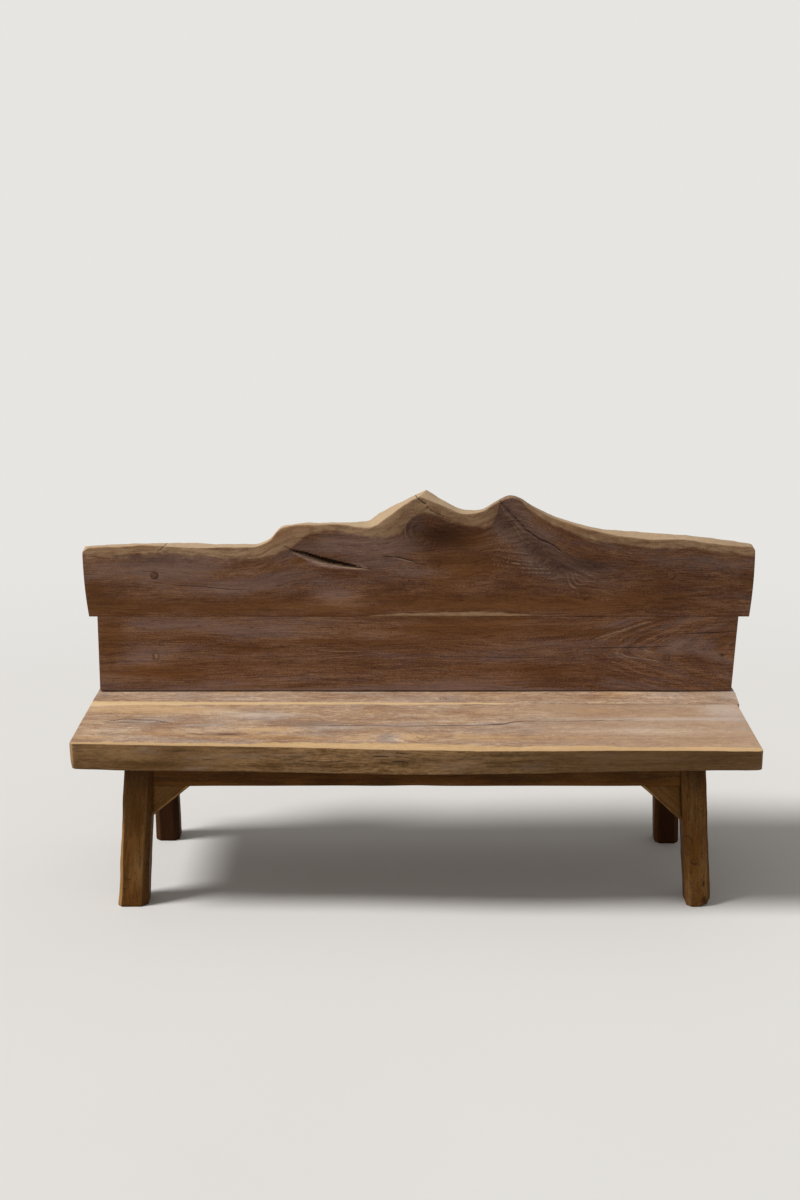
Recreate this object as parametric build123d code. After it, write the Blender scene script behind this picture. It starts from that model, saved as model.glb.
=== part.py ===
from build123d import *
import math
import os

# Bench of two thick seat boards and two back boards with live edges, on a tenoned frame.
# Millimetres, +Z up, the sitter faces -Y. While modelling, X = 0 is midway between the legs
# and Y = 0 is the front face of the back at seat level. At the end everything is shifted so
# that the origin lies on the floor under the middle of the bench.

# Seat boards
seat_height = 430.0
seat_thickness = 62.0
seat_left_end = 807.0
seat_right_end = 800.0
seat_front_reach = 436.0
seat_corner_radius = 12.0
seam_left_reach = 76.0
seam_right_reach = 98.0
rear_board_left_end = 808.0
rear_board_right_end = 814.0
rear_board_rear_reach = 85.0

# How far the live front edge stands past the reach, at shares of the slab's length from the left
front_edge_top = [
    (0.0, -45), (0.12, -30), (0.24, -21), (0.37, -11), (0.48, -2), (0.64, 5), (0.82, 3), (1.0, 5),
]
front_edge_bottom = [
    (0.0, -50), (0.12, -35), (0.24, -22), (0.37, -11), (0.48, -4), (0.64, -10), (0.82, -25), (1.0, -38),
]

# Back boards, with heights measured up the leaning face from seat level
back_lean = 6.0
back_thickness = 40.0
back_seat_gap = 2.5
back_seam_height = 194.5
lower_board_left_foot = 802.0
lower_board_right_foot = 809.0
lower_board_left_top = 807.0
lower_board_right_top = 822.0
slab_left_foot = 824.0
slab_right_foot = 846.0
slab_left_ear = 840.0
slab_right_ear = 858.0
slab_ear_drop = 19.0
shoulder_height = 370.0

# Crest of the upper slab: share of its length from the left ear, then how far the front and
# the rear edge of the top rise above the shoulder. The crest breaks at the apex.
crest_left = [
    (0.0065, -3, 0), (0.042, 2, 4), (0.088, 5, 8), (0.161, -1, 8), (0.236, 1, 6), (0.264, 6, 9),
    (0.280, 26, 29), (0.291, 45, 47), (0.312, 56, 56), (0.353, 59, 60), (0.391, 59, 61),
    (0.413, 53, 63), (0.429, 53, 69), (0.439, 60, 82), (0.453, 78, 96), (0.482, 113, 121),
]
apex_front = (0.5006, 130)
apex_rear = (0.512, 145)
crest_right = [
    (0.535, 107, 120), (0.561, 89, 98), (0.586, 89, 92), (0.596, 95, 95), (0.614, 115, 113),
    (0.637, 130, 130), (0.651, 123, 123), (0.666, 105, 108), (0.687, 87, 89), (0.727, 60, 63),
    (0.771, 39, 46), (0.824, 25, 38), (0.901, 19, 28), (0.962, 7, 16), (0.992, 1, 8),
]

# Open split in the face of the upper slab
split_start = (-334.0, 375.0)
split_end = (-120.0, 318.0)
split_upper_sag = 2.0
split_lower_sag = 12.0
split_lip_sag = 22.0
split_lip_depth = 10.0
split_depth = 26.0

# Front legs
leg_top_spread = 659.0
leg_foot_spread = 678.5
leg_top_setback = 330.0
leg_foot_setback = 359.5
leg_top_depth = 66.0
leg_foot_depth = 70.0
left_leg_top_width = 68.0
left_leg_foot_width = 75.0
right_leg_top_width = 61.0
right_leg_foot_width = 58.0
leg_inner_chamfer_top = 10.0
leg_inner_chamfer_foot = 15.0
leg_outer_chamfer_top = 3.0
leg_outer_chamfer_foot = 9.0
leg_rear_chamfer = 6.0
foot_arris = 4.0
leg_stub_width = 38.0
leg_stub_length = 35.0

# Rear posts, one piece from the foot to the top behind the back
post_spread = 655.0
post_width = 64.0
post_depth = 62.0
post_top_depth = 44.0
post_foot_setback = 45.0
post_top_height = 335.0
post_chamfer = 6.0

# Aprons, side rails and their tenons
rail_height = 71.0
rail_thickness = 32.0
front_apron_setback = 322.0
side_rail_spread = 658.0
tenon_thickness = 12.0
tenon_shoulder = 10.0
tenon_length = 24.0

# Corner braces
left_brace_width = 85.0
left_brace_height = 70.0
right_brace_width = 91.0
right_brace_height = 82.0
brace_thickness = 26.0
brace_setback = 5.0
brace_bevel = 5.0
brace_dowel_along = 0.4
brace_dowel_down = 0.55

# Pegs and dowels
peg_diameter = 19.0
peg_depth_in_post = 35.0
peg_upper_height = 301.0
peg_lower_height = 90.0
left_peg_offset = -5.5
upper_right_peg_offset = -6.0
lower_right_peg_offset = -15.0
dowel_diameter = 12.0
dowel_reach = 25.0
brace_dowel_diameter = 8.0
brace_dowel_reach = 18.0
seam_dowel_places = [-480.0, -160.0, 160.0, 480.0]
seat_dowel_places = [-400.0, 0.0, 400.0]

# Fits
joint_gap = 0.3
tenon_clearance = 0.3
dowel_clearance = 0.15
dowel_end_room = 1.5
notch_clearance = 1.0

lean = math.radians(back_lean)
seat_underside = seat_height - seat_thickness
rail_bottom = seat_underside - rail_height
rail_middle = seat_underside - rail_height / 2
post_front = back_thickness / math.cos(lean)
post_middle = post_front + post_depth / 2


def back_plane(behind=0.0):
    """Plane of the back, some way behind its front face: X along the bench, Y up the boards."""
    front = Plane(
        origin=(0, 0, seat_height), x_dir=(1, 0, 0), z_dir=(0, -math.cos(lean), math.sin(lean))
    )
    return front.offset(-behind)


def on_back(x, height, behind=0.0):
    """Point of the back, by its place along the bench and its height up the boards."""
    return back_plane(behind).from_local_coords((x, height))


def block(x_range, y_range, z_range):
    """Squared timber between two limits along each axis."""
    size = [high - low for low, high in (x_range, y_range, z_range)]
    middle = [(low + high) / 2 for low, high in (x_range, y_range, z_range)]
    return Pos(*middle) * Box(*size)


def dowel(middle, direction, diameter, length):
    """Round dowel about its middle point."""
    return Plane(origin=middle, z_dir=direction).location * Cylinder(diameter / 2, length)


def dowel_hole(middle, direction, diameter, length):
    """Hole for a dowel: a close fit round it, with room for glue at both ends."""
    return dowel(middle, direction, diameter + 2 * dowel_clearance, length + 2 * dowel_end_room)


def blend(start, end, share):
    """Value part of the way from one size to another."""
    return start + (end - start) * share


# Seat

def seam_place(x):
    """Y of the seam between the seat boards, which runs slightly askew."""
    share = (x + seat_left_end) / (seat_left_end + seat_right_end)
    return -blend(seam_left_reach, seam_right_reach, share)


def seat_front_outline(edge, height):
    """Outline of the front slab at one height: live edge, two square ends and the seam."""
    length = seat_left_end + seat_right_end
    live = [(share * length - seat_left_end, -seat_front_reach - out, height) for share, out in edge]
    right = (seat_right_end, seam_place(seat_right_end), height)
    left = (-seat_left_end, seam_place(-seat_left_end), height)
    sides = [Line(live[-1], right), Line(right, left), Line(left, live[0])]
    return Face(Wire([Spline(*live)] + sides))


def seat_front_slab():
    """Front slab: a live edge that is upright at the left and undercut at the right."""
    top = seat_front_outline(front_edge_top, seat_height)
    bottom = seat_front_outline(front_edge_bottom, seat_underside)
    slab = loft([bottom, top], ruled=True)
    uprights = slab.edges().filter_by(lambda edge: abs(edge.tangent_at(0.5).Z) > 0.5)
    return fillet(uprights.sort_by(Axis.Y)[:2], seat_corner_radius)


def seat_rear_board():
    """Rear board: it follows the seam, and open notches let the posts through."""
    corners = [
        (-rear_board_left_end, seam_place(-rear_board_left_end) + joint_gap),
        (rear_board_right_end, seam_place(rear_board_right_end) + joint_gap),
        (rear_board_right_end, rear_board_rear_reach),
        (-rear_board_left_end, rear_board_rear_reach),
    ]
    outline = Plane.XY.offset(seat_underside) * make_face(Polyline(*corners, close=True))
    board = extrude(outline, seat_thickness)
    half_notch = post_width / 2 + notch_clearance
    for side in (-1, 1):
        middle = side * post_spread
        board -= block(
            (middle - half_notch, middle + half_notch),
            (post_front - notch_clearance, rear_board_rear_reach + post_depth),
            (seat_underside - seat_thickness, seat_height + seat_thickness),
        )
    return board


# Back

def back_lower_board():
    """Lower board: slightly wider at its top, bottom edge cut level above the seat."""
    top = back_seam_height - joint_gap
    corners = [
        on_back(-lower_board_left_foot, -back_thickness),
        on_back(lower_board_right_foot, -back_thickness),
        on_back(lower_board_right_foot, 0),
        on_back(lower_board_right_top, top),
        on_back(-lower_board_left_top, top),
        on_back(-lower_board_left_foot, 0),
    ]
    board = extrude(make_face(Polyline(*corners, close=True)), -back_thickness)
    reach = 2 * max(lower_board_left_top, lower_board_right_top)
    below = block(
        (-reach, reach),
        (-2 * back_thickness, 3 * back_thickness),
        (seat_underside - back_thickness, seat_height + back_seat_gap),
    )
    return board - below


def slab_outline(behind, column, apex):
    """Outline of the upper slab on its front or rear face, from the crest's front or rear column."""
    length = slab_left_ear + slab_right_ear

    def crest_point(share, rise):
        return on_back(share * length - slab_left_ear, shoulder_height + rise, behind)

    left_crest = [crest_point(point[0], point[column]) for point in crest_left]
    right_crest = [crest_point(point[0], point[column]) for point in crest_right]
    peak = crest_point(*apex)
    corners = [
        right_crest[-1],
        on_back(slab_right_ear, shoulder_height - slab_ear_drop, behind),
        on_back(slab_right_foot, back_seam_height, behind),
        on_back(-slab_left_foot, back_seam_height, behind),
        on_back(-slab_left_ear, shoulder_height - slab_ear_drop, behind),
        left_crest[0],
    ]
    sides = [Line(start, end) for start, end in zip(corners, corners[1:])]
    return Face(Wire([Spline(*left_crest, peak), Spline(peak, *right_crest)] + sides))


def split_outline(behind, lower_sag):
    """Long narrow mouth between two shallow arcs, lying along the grain."""
    middle_x = (split_start[0] + split_end[0]) / 2
    middle_height = (split_start[1] + split_end[1]) / 2
    ends = [on_back(*split_start, behind), on_back(*split_end, behind)]
    upper = ThreePointArc(ends[0], on_back(middle_x, middle_height - split_upper_sag, behind), ends[1])
    lower = ThreePointArc(ends[1], on_back(middle_x, middle_height - lower_sag, behind), ends[0])
    return Face(Wire([upper, lower]))


def back_upper_slab():
    """Upper slab: the crest is lofted from the front face to the rear one, and the split is cut in."""
    slab = loft([slab_outline(0, 1, apex_front), slab_outline(back_thickness, 2, apex_rear)], ruled=True)
    lip = loft([split_outline(0, split_lip_sag), split_outline(split_lip_depth, split_lower_sag)], ruled=True)
    crack = loft([split_outline(0, split_lower_sag), split_outline(split_depth, split_lower_sag)], ruled=True)
    return slab - lip - crack


# Legs and posts

def front_leg(side, top_width, foot_width):
    """Hewn front leg: splayed outwards and forwards, its four edges cut off, with a stub on top."""

    def section(height, spread, setback, width, depth, inner_cut, outer_cut):
        half_width = width / 2
        front = -setback
        rear = depth - setback
        left_cut = inner_cut if side > 0 else outer_cut
        right_cut = outer_cut if side > 0 else inner_cut
        corners = [
            (-half_width, front + left_cut),
            (left_cut - half_width, front),
            (half_width - right_cut, front),
            (half_width, front + right_cut),
            (half_width, rear - leg_rear_chamfer),
            (half_width - leg_rear_chamfer, rear),
            (leg_rear_chamfer - half_width, rear),
            (-half_width, rear - leg_rear_chamfer),
        ]
        points = [(side * spread + x, y, height) for x, y in corners]
        return make_face(Polyline(*points, close=True))

    foot = section(
        0, leg_foot_spread, leg_foot_setback, foot_width, leg_foot_depth,
        leg_inner_chamfer_foot, leg_outer_chamfer_foot,
    )
    top = section(
        seat_underside, leg_top_spread, leg_top_setback, top_width, leg_top_depth,
        leg_inner_chamfer_top, leg_outer_chamfer_top,
    )
    shaft = loft([foot, top], ruled=True)
    return chamfer(shaft.faces().sort_by(Axis.Z)[0].edges(), foot_arris)


def leg_stub(side, clearance=0.0):
    """Square stub on a leg's top, or its mortise in the seat when given a clearance."""
    half_width = leg_stub_width / 2 + clearance
    middle_y = leg_top_depth / 2 - leg_top_setback
    return block(
        (side * leg_top_spread - half_width, side * leg_top_spread + half_width),
        (middle_y - half_width, middle_y + half_width),
        (seat_underside, seat_underside + leg_stub_length + clearance),
    )


def rear_post(side):
    """Rear post: upright below the seat, leaning with the back and thinner above it."""
    top_front = on_back(0, post_top_height, back_thickness)
    top_rear = on_back(0, post_top_height, back_thickness + post_top_depth)
    profile = [
        (0, post_foot_setback, 0),
        (0, post_front, seat_height),
        (0, top_front.Y, top_front.Z),
        (0, top_rear.Y, top_rear.Z),
        (0, post_front + post_depth, seat_height),
        (0, post_foot_setback + post_depth, 0),
    ]
    post = extrude(make_face(Polyline(*profile, close=True)), post_width / 2, dir=(1, 0, 0), both=True)
    long_edges = post.edges().filter_by(Axis.X, reverse=True)
    return Pos(side * post_spread, 0, 0) * chamfer(long_edges, post_chamfer)


# Rails and braces

def tenon_limits(middle, clearance):
    """Limits of a tenon across the rail's thickness, and from its bottom to its top."""
    half_thickness = tenon_thickness / 2 + clearance
    across = (middle - half_thickness, middle + half_thickness)
    upright = (rail_bottom + tenon_shoulder - clearance, seat_underside - tenon_shoulder + clearance)
    return across, upright


def cross_tenon(left_face, right_face, middle_y, clearance=0.0):
    """Tenon bar of an apron, from inside one leg to inside the other."""
    across, upright = tenon_limits(middle_y, clearance)
    reach = tenon_length + clearance
    return block((left_face - reach, right_face + reach), across, upright)


def side_tenon(side, clearance=0.0):
    """Tenon bar of a side rail, from inside the front leg to inside the rear post."""
    across, upright = tenon_limits(side * side_rail_spread, clearance)
    share = (seat_underside - rail_middle) / seat_underside
    leg_rear = blend(leg_top_depth - leg_top_setback, leg_foot_depth - leg_foot_setback, share)
    reach = tenon_length + clearance
    return block(across, (leg_rear - reach, post_front + reach), upright)


def apron(spread, front, uprights):
    """Body of an apron between two uprights, its shoulders cut to their faces."""
    body = block((-spread, spread), (front, front + rail_thickness), (rail_bottom, seat_underside))
    return body - uprights


def side_rail(side, uprights):
    """Body of a side rail between a front leg and a rear post."""
    middle = side * side_rail_spread
    body = block(
        (middle - rail_thickness / 2, middle + rail_thickness / 2),
        (leg_top_depth / 2 - leg_top_setback, post_middle),
        (rail_bottom, seat_underside),
    )
    return body - uprights


def brace(side, face_top, face_low, front, width, height, upright):
    """Triangular brace in the corner of an apron and an upright, bevelled along its long edge."""
    behind_face = post_width / 4
    corners = [
        (side * (face_top - width), rail_bottom),
        (side * face_low, rail_bottom - height),
        (side * (face_low + behind_face), rail_bottom - height),
        (side * (face_low + behind_face), rail_bottom),
    ]
    outline = make_face(Polyline(*[(x, front, z) for x, z in corners], close=True))
    body = extrude(outline, brace_thickness, dir=(0, 1, 0)) - upright
    sloping = body.edges().filter_by(lambda edge: 0.1 < abs(edge.tangent_at(0.5).Z) < 0.9)
    return chamfer(sloping.sort_by(Axis.Y)[0], brace_bevel)


def brace_dowel_places(side, face_top, face_low, front, width, height):
    """Middle points and directions of a brace's two dowels: up into the apron, out into the upright."""
    middle_y = front + brace_thickness / 2
    along = side * (face_top - brace_dowel_along * width)
    out = side * blend(face_top, face_low, brace_dowel_down)
    return [
        ((along, middle_y, rail_bottom), (0, 0, 1)),
        ((out, middle_y, rail_bottom - brace_dowel_down * height), (1, 0, 0)),
    ]


def leg_inner_face(top_width, foot_width, height):
    """Distance of a front leg's inner face from the middle of the bench at one height."""
    share = (seat_underside - height) / seat_underside
    return blend(leg_top_spread - top_width / 2, leg_foot_spread - foot_width / 2, share)


# Uprights before their mortises
left_leg = front_leg(-1, left_leg_top_width, left_leg_foot_width)
right_leg = front_leg(1, right_leg_top_width, right_leg_foot_width)
left_post = rear_post(-1)
right_post = rear_post(1)

# Aprons and side rails
front_apron_middle = rail_thickness / 2 - front_apron_setback
left_leg_face = -leg_inner_face(left_leg_top_width, left_leg_foot_width, rail_middle)
right_leg_face = leg_inner_face(right_leg_top_width, right_leg_foot_width, rail_middle)
post_face = post_spread - post_width / 2

nodes = {}
nodes["front_apron"] = apron(leg_top_spread, -front_apron_setback, [left_leg, right_leg])
nodes["front_apron"] += cross_tenon(left_leg_face, right_leg_face, front_apron_middle)
nodes["rear_apron"] = apron(post_spread, post_middle - rail_thickness / 2, [left_post, right_post])
nodes["rear_apron"] += cross_tenon(-post_face, post_face, post_middle)
nodes["side_rail_left"] = side_rail(-1, [left_leg, left_post]) + side_tenon(-1)
nodes["side_rail_right"] = side_rail(1, [right_leg, right_post]) + side_tenon(1)

# Braces and the places of their dowels
front_brace_front = brace_setback - front_apron_setback
rear_brace_front = post_middle - brace_thickness / 2
brace_plans = {
    "front_brace_left": (-1, left_leg, front_brace_front, left_brace_width, left_brace_height),
    "front_brace_right": (1, right_leg, front_brace_front, right_brace_width, right_brace_height),
    "rear_brace_left": (-1, left_post, rear_brace_front, left_brace_width, left_brace_height),
    "rear_brace_right": (1, right_post, rear_brace_front, right_brace_width, right_brace_height),
}
brace_dowels = {}
for name, (side, upright, front, width, height) in brace_plans.items():
    face_top = post_face
    face_low = post_face
    if name.startswith("front"):
        leg_top_width = left_leg_top_width if side < 0 else right_leg_top_width
        leg_foot_width = left_leg_foot_width if side < 0 else right_leg_foot_width
        face_top = leg_inner_face(leg_top_width, leg_foot_width, rail_bottom)
        face_low = leg_inner_face(leg_top_width, leg_foot_width, rail_bottom - height)
    nodes[name] = brace(side, face_top, face_low, front, width, height, upright)
    brace_dowels[name] = brace_dowel_places(side, face_top, face_low, front, width, height)

# Legs and posts with stubs and mortises
apron_mortise = cross_tenon(left_leg_face, right_leg_face, front_apron_middle, tenon_clearance)
rear_apron_mortise = cross_tenon(-post_face, post_face, post_middle, tenon_clearance)
nodes["front_leg_left"] = left_leg + leg_stub(-1) - [apron_mortise, side_tenon(-1, tenon_clearance)]
nodes["front_leg_right"] = right_leg + leg_stub(1) - [apron_mortise, side_tenon(1, tenon_clearance)]
nodes["rear_post_left"] = left_post - [rear_apron_mortise, side_tenon(-1, tenon_clearance)]
nodes["rear_post_right"] = right_post - [rear_apron_mortise, side_tenon(1, tenon_clearance)]

# Boards
nodes["seat_front_slab"] = seat_front_slab() - [leg_stub(side, tenon_clearance) for side in (-1, 1)]
nodes["seat_rear_board"] = seat_rear_board()
nodes["back_lower_board"] = back_lower_board()
nodes["back_upper_slab"] = back_upper_slab()

# Pegs through the back boards into the posts, flush with the face
peg_length = back_thickness + peg_depth_in_post
peg_places = [
    ("back_upper_slab", "rear_post_left", -post_spread + left_peg_offset, peg_upper_height),
    ("back_upper_slab", "rear_post_right", post_spread + upper_right_peg_offset, peg_upper_height),
    ("back_lower_board", "rear_post_left", -post_spread + left_peg_offset, peg_lower_height),
    ("back_lower_board", "rear_post_right", post_spread + lower_right_peg_offset, peg_lower_height),
]
back_pegs = []
for board, post, x, height in peg_places:
    middle = on_back(x, height, peg_length / 2)
    direction = back_plane().z_dir
    back_pegs.append(dowel(middle, direction, peg_diameter, peg_length))
    hole = dowel_hole(middle, direction, peg_diameter, peg_length)
    nodes[board] -= hole
    nodes[post] -= hole
nodes["back_pegs"] = Compound(children=back_pegs)


def add_dowels(name, places, diameter, reach, boards):
    """Drill both joined pieces for each dowel and add the dowels as one group."""
    dowels = []
    for (middle, direction), joined in zip(places, boards):
        dowels.append(dowel(middle, direction, diameter, 2 * reach))
        for board in joined:
            nodes[board] -= dowel_hole(middle, direction, diameter, 2 * reach)
    nodes[name] = Compound(children=dowels)


seat_middle = seat_height - seat_thickness / 2
seat_seam_places = [((x, seam_place(x), seat_middle), (0, 1, 0)) for x in seam_dowel_places]
seat_seam_boards = [("seat_front_slab", "seat_rear_board")] * len(seat_seam_places)
add_dowels("seat_edge_dowels", seat_seam_places, dowel_diameter, dowel_reach, seat_seam_boards)

up_the_back = back_plane().y_dir
back_seam_points = [on_back(x, back_seam_height, back_thickness / 2) for x in seam_dowel_places]
back_seam_places = [(point, up_the_back) for point in back_seam_points]
back_seam_boards = [("back_lower_board", "back_upper_slab")] * len(back_seam_places)
add_dowels("back_edge_dowels", back_seam_places, dowel_diameter, dowel_reach, back_seam_boards)

apron_places = [((x, post_middle, seat_underside), (0, 0, 1)) for x in seat_dowel_places]
apron_boards = [("rear_apron", "seat_rear_board")] * len(apron_places)
add_dowels("seat_dowels", apron_places, dowel_diameter, dowel_reach, apron_boards)

brace_places = []
brace_boards = []
for name, places in brace_dowels.items():
    rail = "front_apron" if name.startswith("front") else "rear_apron"
    post = name.replace("front_brace", "front_leg").replace("rear_brace", "rear_post")
    brace_places += places
    brace_boards += [(name, rail), (name, post)]
add_dowels("brace_dowels", brace_places, brace_dowel_diameter, brace_dowel_reach, brace_boards)

# Shift the whole bench so that the origin lies on the floor under its middle, and write it
bench_box = nodes["seat_front_slab"].bounding_box()
for shape in nodes.values():
    bench_box = bench_box.add(shape.bounding_box())
shift = Pos(-bench_box.center().X, -bench_box.center().Y, -bench_box.min.Z)
os.makedirs("parts", exist_ok=True)
for name, shape in nodes.items():
    solids = [shift * solid for solid in shape.solids()]
    export_step(Compound(solids), f"parts/{name}.step")
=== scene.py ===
import math
from types import SimpleNamespace

import bpy
import numpy as np
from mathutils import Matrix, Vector


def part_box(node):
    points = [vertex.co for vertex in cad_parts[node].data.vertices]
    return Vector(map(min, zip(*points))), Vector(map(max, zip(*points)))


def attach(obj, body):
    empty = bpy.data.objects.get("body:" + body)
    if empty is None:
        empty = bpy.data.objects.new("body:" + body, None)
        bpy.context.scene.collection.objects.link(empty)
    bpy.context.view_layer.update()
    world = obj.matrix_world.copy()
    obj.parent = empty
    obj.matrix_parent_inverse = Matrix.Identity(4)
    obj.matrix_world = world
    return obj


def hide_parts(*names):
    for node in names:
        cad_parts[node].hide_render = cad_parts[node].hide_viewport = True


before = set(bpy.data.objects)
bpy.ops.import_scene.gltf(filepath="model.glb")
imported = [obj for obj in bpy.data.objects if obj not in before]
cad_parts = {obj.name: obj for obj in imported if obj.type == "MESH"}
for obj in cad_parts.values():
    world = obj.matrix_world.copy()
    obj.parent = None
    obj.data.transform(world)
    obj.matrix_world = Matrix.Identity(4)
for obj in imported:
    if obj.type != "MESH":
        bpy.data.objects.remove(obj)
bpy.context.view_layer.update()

# Shapes are worked out in millimetres on the bench: X = 0 midway between the legs, Y = 0 at the
# front face of the back at seat level, Z = 0 on the floor. They are placed in metres at the end.
MM = 0.001

# Seat boards
seat_height = 430.0
seat_thickness = 62.0
seat_underside = seat_height - seat_thickness
seat_left_end = 811.0
seat_right_end = 800.0
seat_front_reach = 436.0
seat_corner_radius = 12.0
seam_left_reach = 76.0
seam_right_reach = 98.0
seam_gap = 0.3
rear_board_left_end = 811.0
rear_board_right_end = 814.0
rear_board_rear_reach = 85.0
notch_clearance = 1.0
# Share of the front slab's length, then how far its top or bottom edge swells forward
front_edge_top = [
    (0.0, -45), (0.12, -33), (0.24, -26), (0.37, -15), (0.48, -2), (0.64, 6), (0.82, 3), (1.0, 9),
]
front_edge_bottom = [
    (0.0, -38), (0.12, -26), (0.24, -21), (0.37, -9), (0.48, -2), (0.64, -5), (0.82, -23), (1.0, -31),
]

# Back boards, heights measured up the leaning face from seat level
lean = math.radians(6.0)
back_thickness = 40.0
back_seat_gap = 2.5
back_seam_height = 194.5
lower_board_left_foot = 805.0
lower_board_right_foot = 809.0
lower_board_left_top = 807.0
lower_board_right_top = 822.0
slab_left_foot = 828.0
slab_right_foot = 849.0
slab_left_ear = 841.0
slab_right_ear = 859.5
slab_length = slab_left_ear + slab_right_ear
shoulder_height = 370.0
slab_end_bow = 0.0035
# Rise of the crest's front (1) and rear (2) edge at the slab's left and right ear
ear_rises = {1: (-11.0, -6.0), 2: (0.0, 4.0)}

# Crest of the upper slab: share of its length, then rise of its front and rear edge over the shoulder
crest_left = [
    (0.0082, 1, 1), (0.042, 3, 4), (0.088, 6, 8), (0.161, 1, 8), (0.236, 2.5, 6), (0.264, 6, 9),
    (0.28, 21, 24), (0.291, 43, 45), (0.312, 56, 56), (0.353, 59, 60), (0.391, 59, 61), (0.413, 53, 63),
    (0.429, 53, 69), (0.439, 60, 82), (0.453, 78, 96), (0.482, 113, 121),
]
apex_front = (0.5006, 130)
apex_rear = (0.512, 145)
apex_run = 0.06
crest_right = [
    (0.535, 107, 120), (0.561, 89, 98), (0.586, 89, 92), (0.596, 95, 95), (0.614, 115, 113),
    (0.637, 130, 130), (0.651, 123, 123), (0.666, 105, 108), (0.687, 87, 89), (0.727, 60, 63),
    (0.771, 39, 46), (0.824, 25, 38), (0.901, 19, 28), (0.962, 7, 16), (0.9952, 3, 7),
]

# Open split in the upper slab: its upper edge, its lower edge and the worn lip below it
split_upper = [
    (-334, 375), (-316, 367), (-283, 360), (-238, 347), (-177, 332), (-157, 327), (-144, 322),
    (-110, 316.5),
]
split_lower = [
    (-334, 375), (-316, 364), (-283, 354), (-238, 337), (-204, 328), (-177, 324.5), (-147, 320),
    (-110, 316.5),
]
split_lip = [
    (-334, 375), (-300, 355), (-271, 338), (-238, 324), (-204, 320), (-177, 318), (-147, 317),
    (-110, 316),
]
split_depth = 26.0
split_lip_depth = 9.0

# Frame timbers: -1 is the left one and 1 the right one, a pair of leg sizes is at the top and at the foot,
# and counts are points along each side of a section
leg_spreads = (659.0, 684.0)
leg_setbacks = (330.0, 359.5)
leg_depths = (66.0, 70.0)
leg_widths = {-1: (68.0, 72.0), 1: (61.0, 58.0)}
leg_inner_cuts = {-1: (10.0, 15.0), 1: (9.0, 10.0)}
leg_outer_cuts = (3.0, 9.0)
leg_rear_cut = 6.0
leg_counts = (5, 16, 5, 16, 4, 16, 4, 16)
post_spread = 655.0
post_width = 64.0
post_depth = 62.0
post_top_depth = 44.0
post_foot_setback = 45.0
post_top_height = 335.0
post_cut = 6.0
post_hewn_cut = 13.0
post_foot_shifts = {-1: (1.0, 0.0), 1: (12.0, -18.0)}
post_counts = (4, 14) * 4
rail_height = 71.0
rail_thickness = 32.0
rail_bottom = seat_underside - rail_height
timber_top = seat_underside - 0.4
rail_sunk = 2.0
front_apron_setback = 322.0
side_rail_spread = 658.0
front_brace_sizes = {-1: (94.0, 81.0), 1: (98.0, 94.0)}
rear_brace_sizes = {-1: (85.0, 70.0), 1: (91.0, 82.0)}
brace_thickness = 26.0
brace_setback = 5.0
brace_bevel = 5.0
brace_counts = (26, 18, 20)
peg_radius = 9.5
peg_hole_radius = 9.6
peg_length = 75.0
peg_places = [(-660.5, 301.0), (649.0, 301.0), (-660.5, 90.0), (640.0, 90.0)]

# Where the bench stands in the shared frame
middle_x = (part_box("rear_post_left")[0].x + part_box("rear_post_right")[1].x) / 2
post_front = back_thickness / math.cos(lean)
post_face = post_spread - post_width / 2
post_middle = post_front + post_depth / 2
back_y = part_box("rear_post_left")[0].y - post_front * MM


# Numbers, noise and curves

def lerp(start, end, share):
    return start + (end - start) * share


def smooth(low, high, value):
    """Eased step from 0 to 1 as the value goes from low to high."""
    share = np.clip((value - low) / (high - low), 0.0, 1.0)
    return share * share * (3 - 2 * share)


def spots(x, y, places):
    """Soft spots: place, reach along and across, amount, and the slope they lie at if not level."""
    total = np.zeros(np.shape(x))
    for at_x, at_y, along, across, amount, *slope in places:
        dx, dy = x - at_x, y - at_y
        rise = slope[0] if slope else 0.0
        length = math.hypot(1, rise)
        run, off = (dx + rise * dy) / length, (dy - rise * dx) / length
        total += amount * np.exp(-((run / along) ** 2) - (off / across) ** 2)
    return total


def lattice_value(i, j, k, seed):
    """Repeatable value from -1 to 1 for each whole-numbered point."""
    n = i.astype(np.uint64) * np.uint64(374761393) + j.astype(np.uint64) * np.uint64(668265263)
    n += k.astype(np.uint64) * np.uint64(2246822519) + np.uint64(seed * 974634777 + 12345)
    n &= np.uint64(0xFFFFFFFF)
    n = ((n ^ (n >> np.uint64(13))) * np.uint64(1274126177)) & np.uint64(0xFFFFFFFF)
    n = n ^ (n >> np.uint64(16))
    return n.astype(float) / 0xFFFFFFFF * 2 - 1


def noise(x, y, z=0.0, seed=0):
    """Smooth noise from -1 to 1 with bumps about one unit wide."""
    x, y, z = np.broadcast_arrays(np.asarray(x, float), y, z)
    floors = [np.floor(value).astype(np.int64) for value in (x, y, z)]
    shares = [value - low for value, low in zip((x, y, z), floors)]
    shares = [share * share * (3 - 2 * share) for share in shares]
    total = np.zeros(x.shape)
    for corner in range(8):
        steps = (corner & 1, corner >> 1 & 1, corner >> 2 & 1)
        weight = np.ones(x.shape)
        for share, step in zip(shares, steps):
            weight = weight * (share if step else 1 - share)
        places = [low + step for low, step in zip(floors, steps)]
        total += weight * lattice_value(*places, seed)
    return total


def rough_noise(x, y, seed):
    """Noise with two finer layers of bumps added to the broad one."""
    return sum(noise(x * scale, y * scale, seed=seed + i) / scale for i, scale in enumerate((1, 2, 4)))


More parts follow.
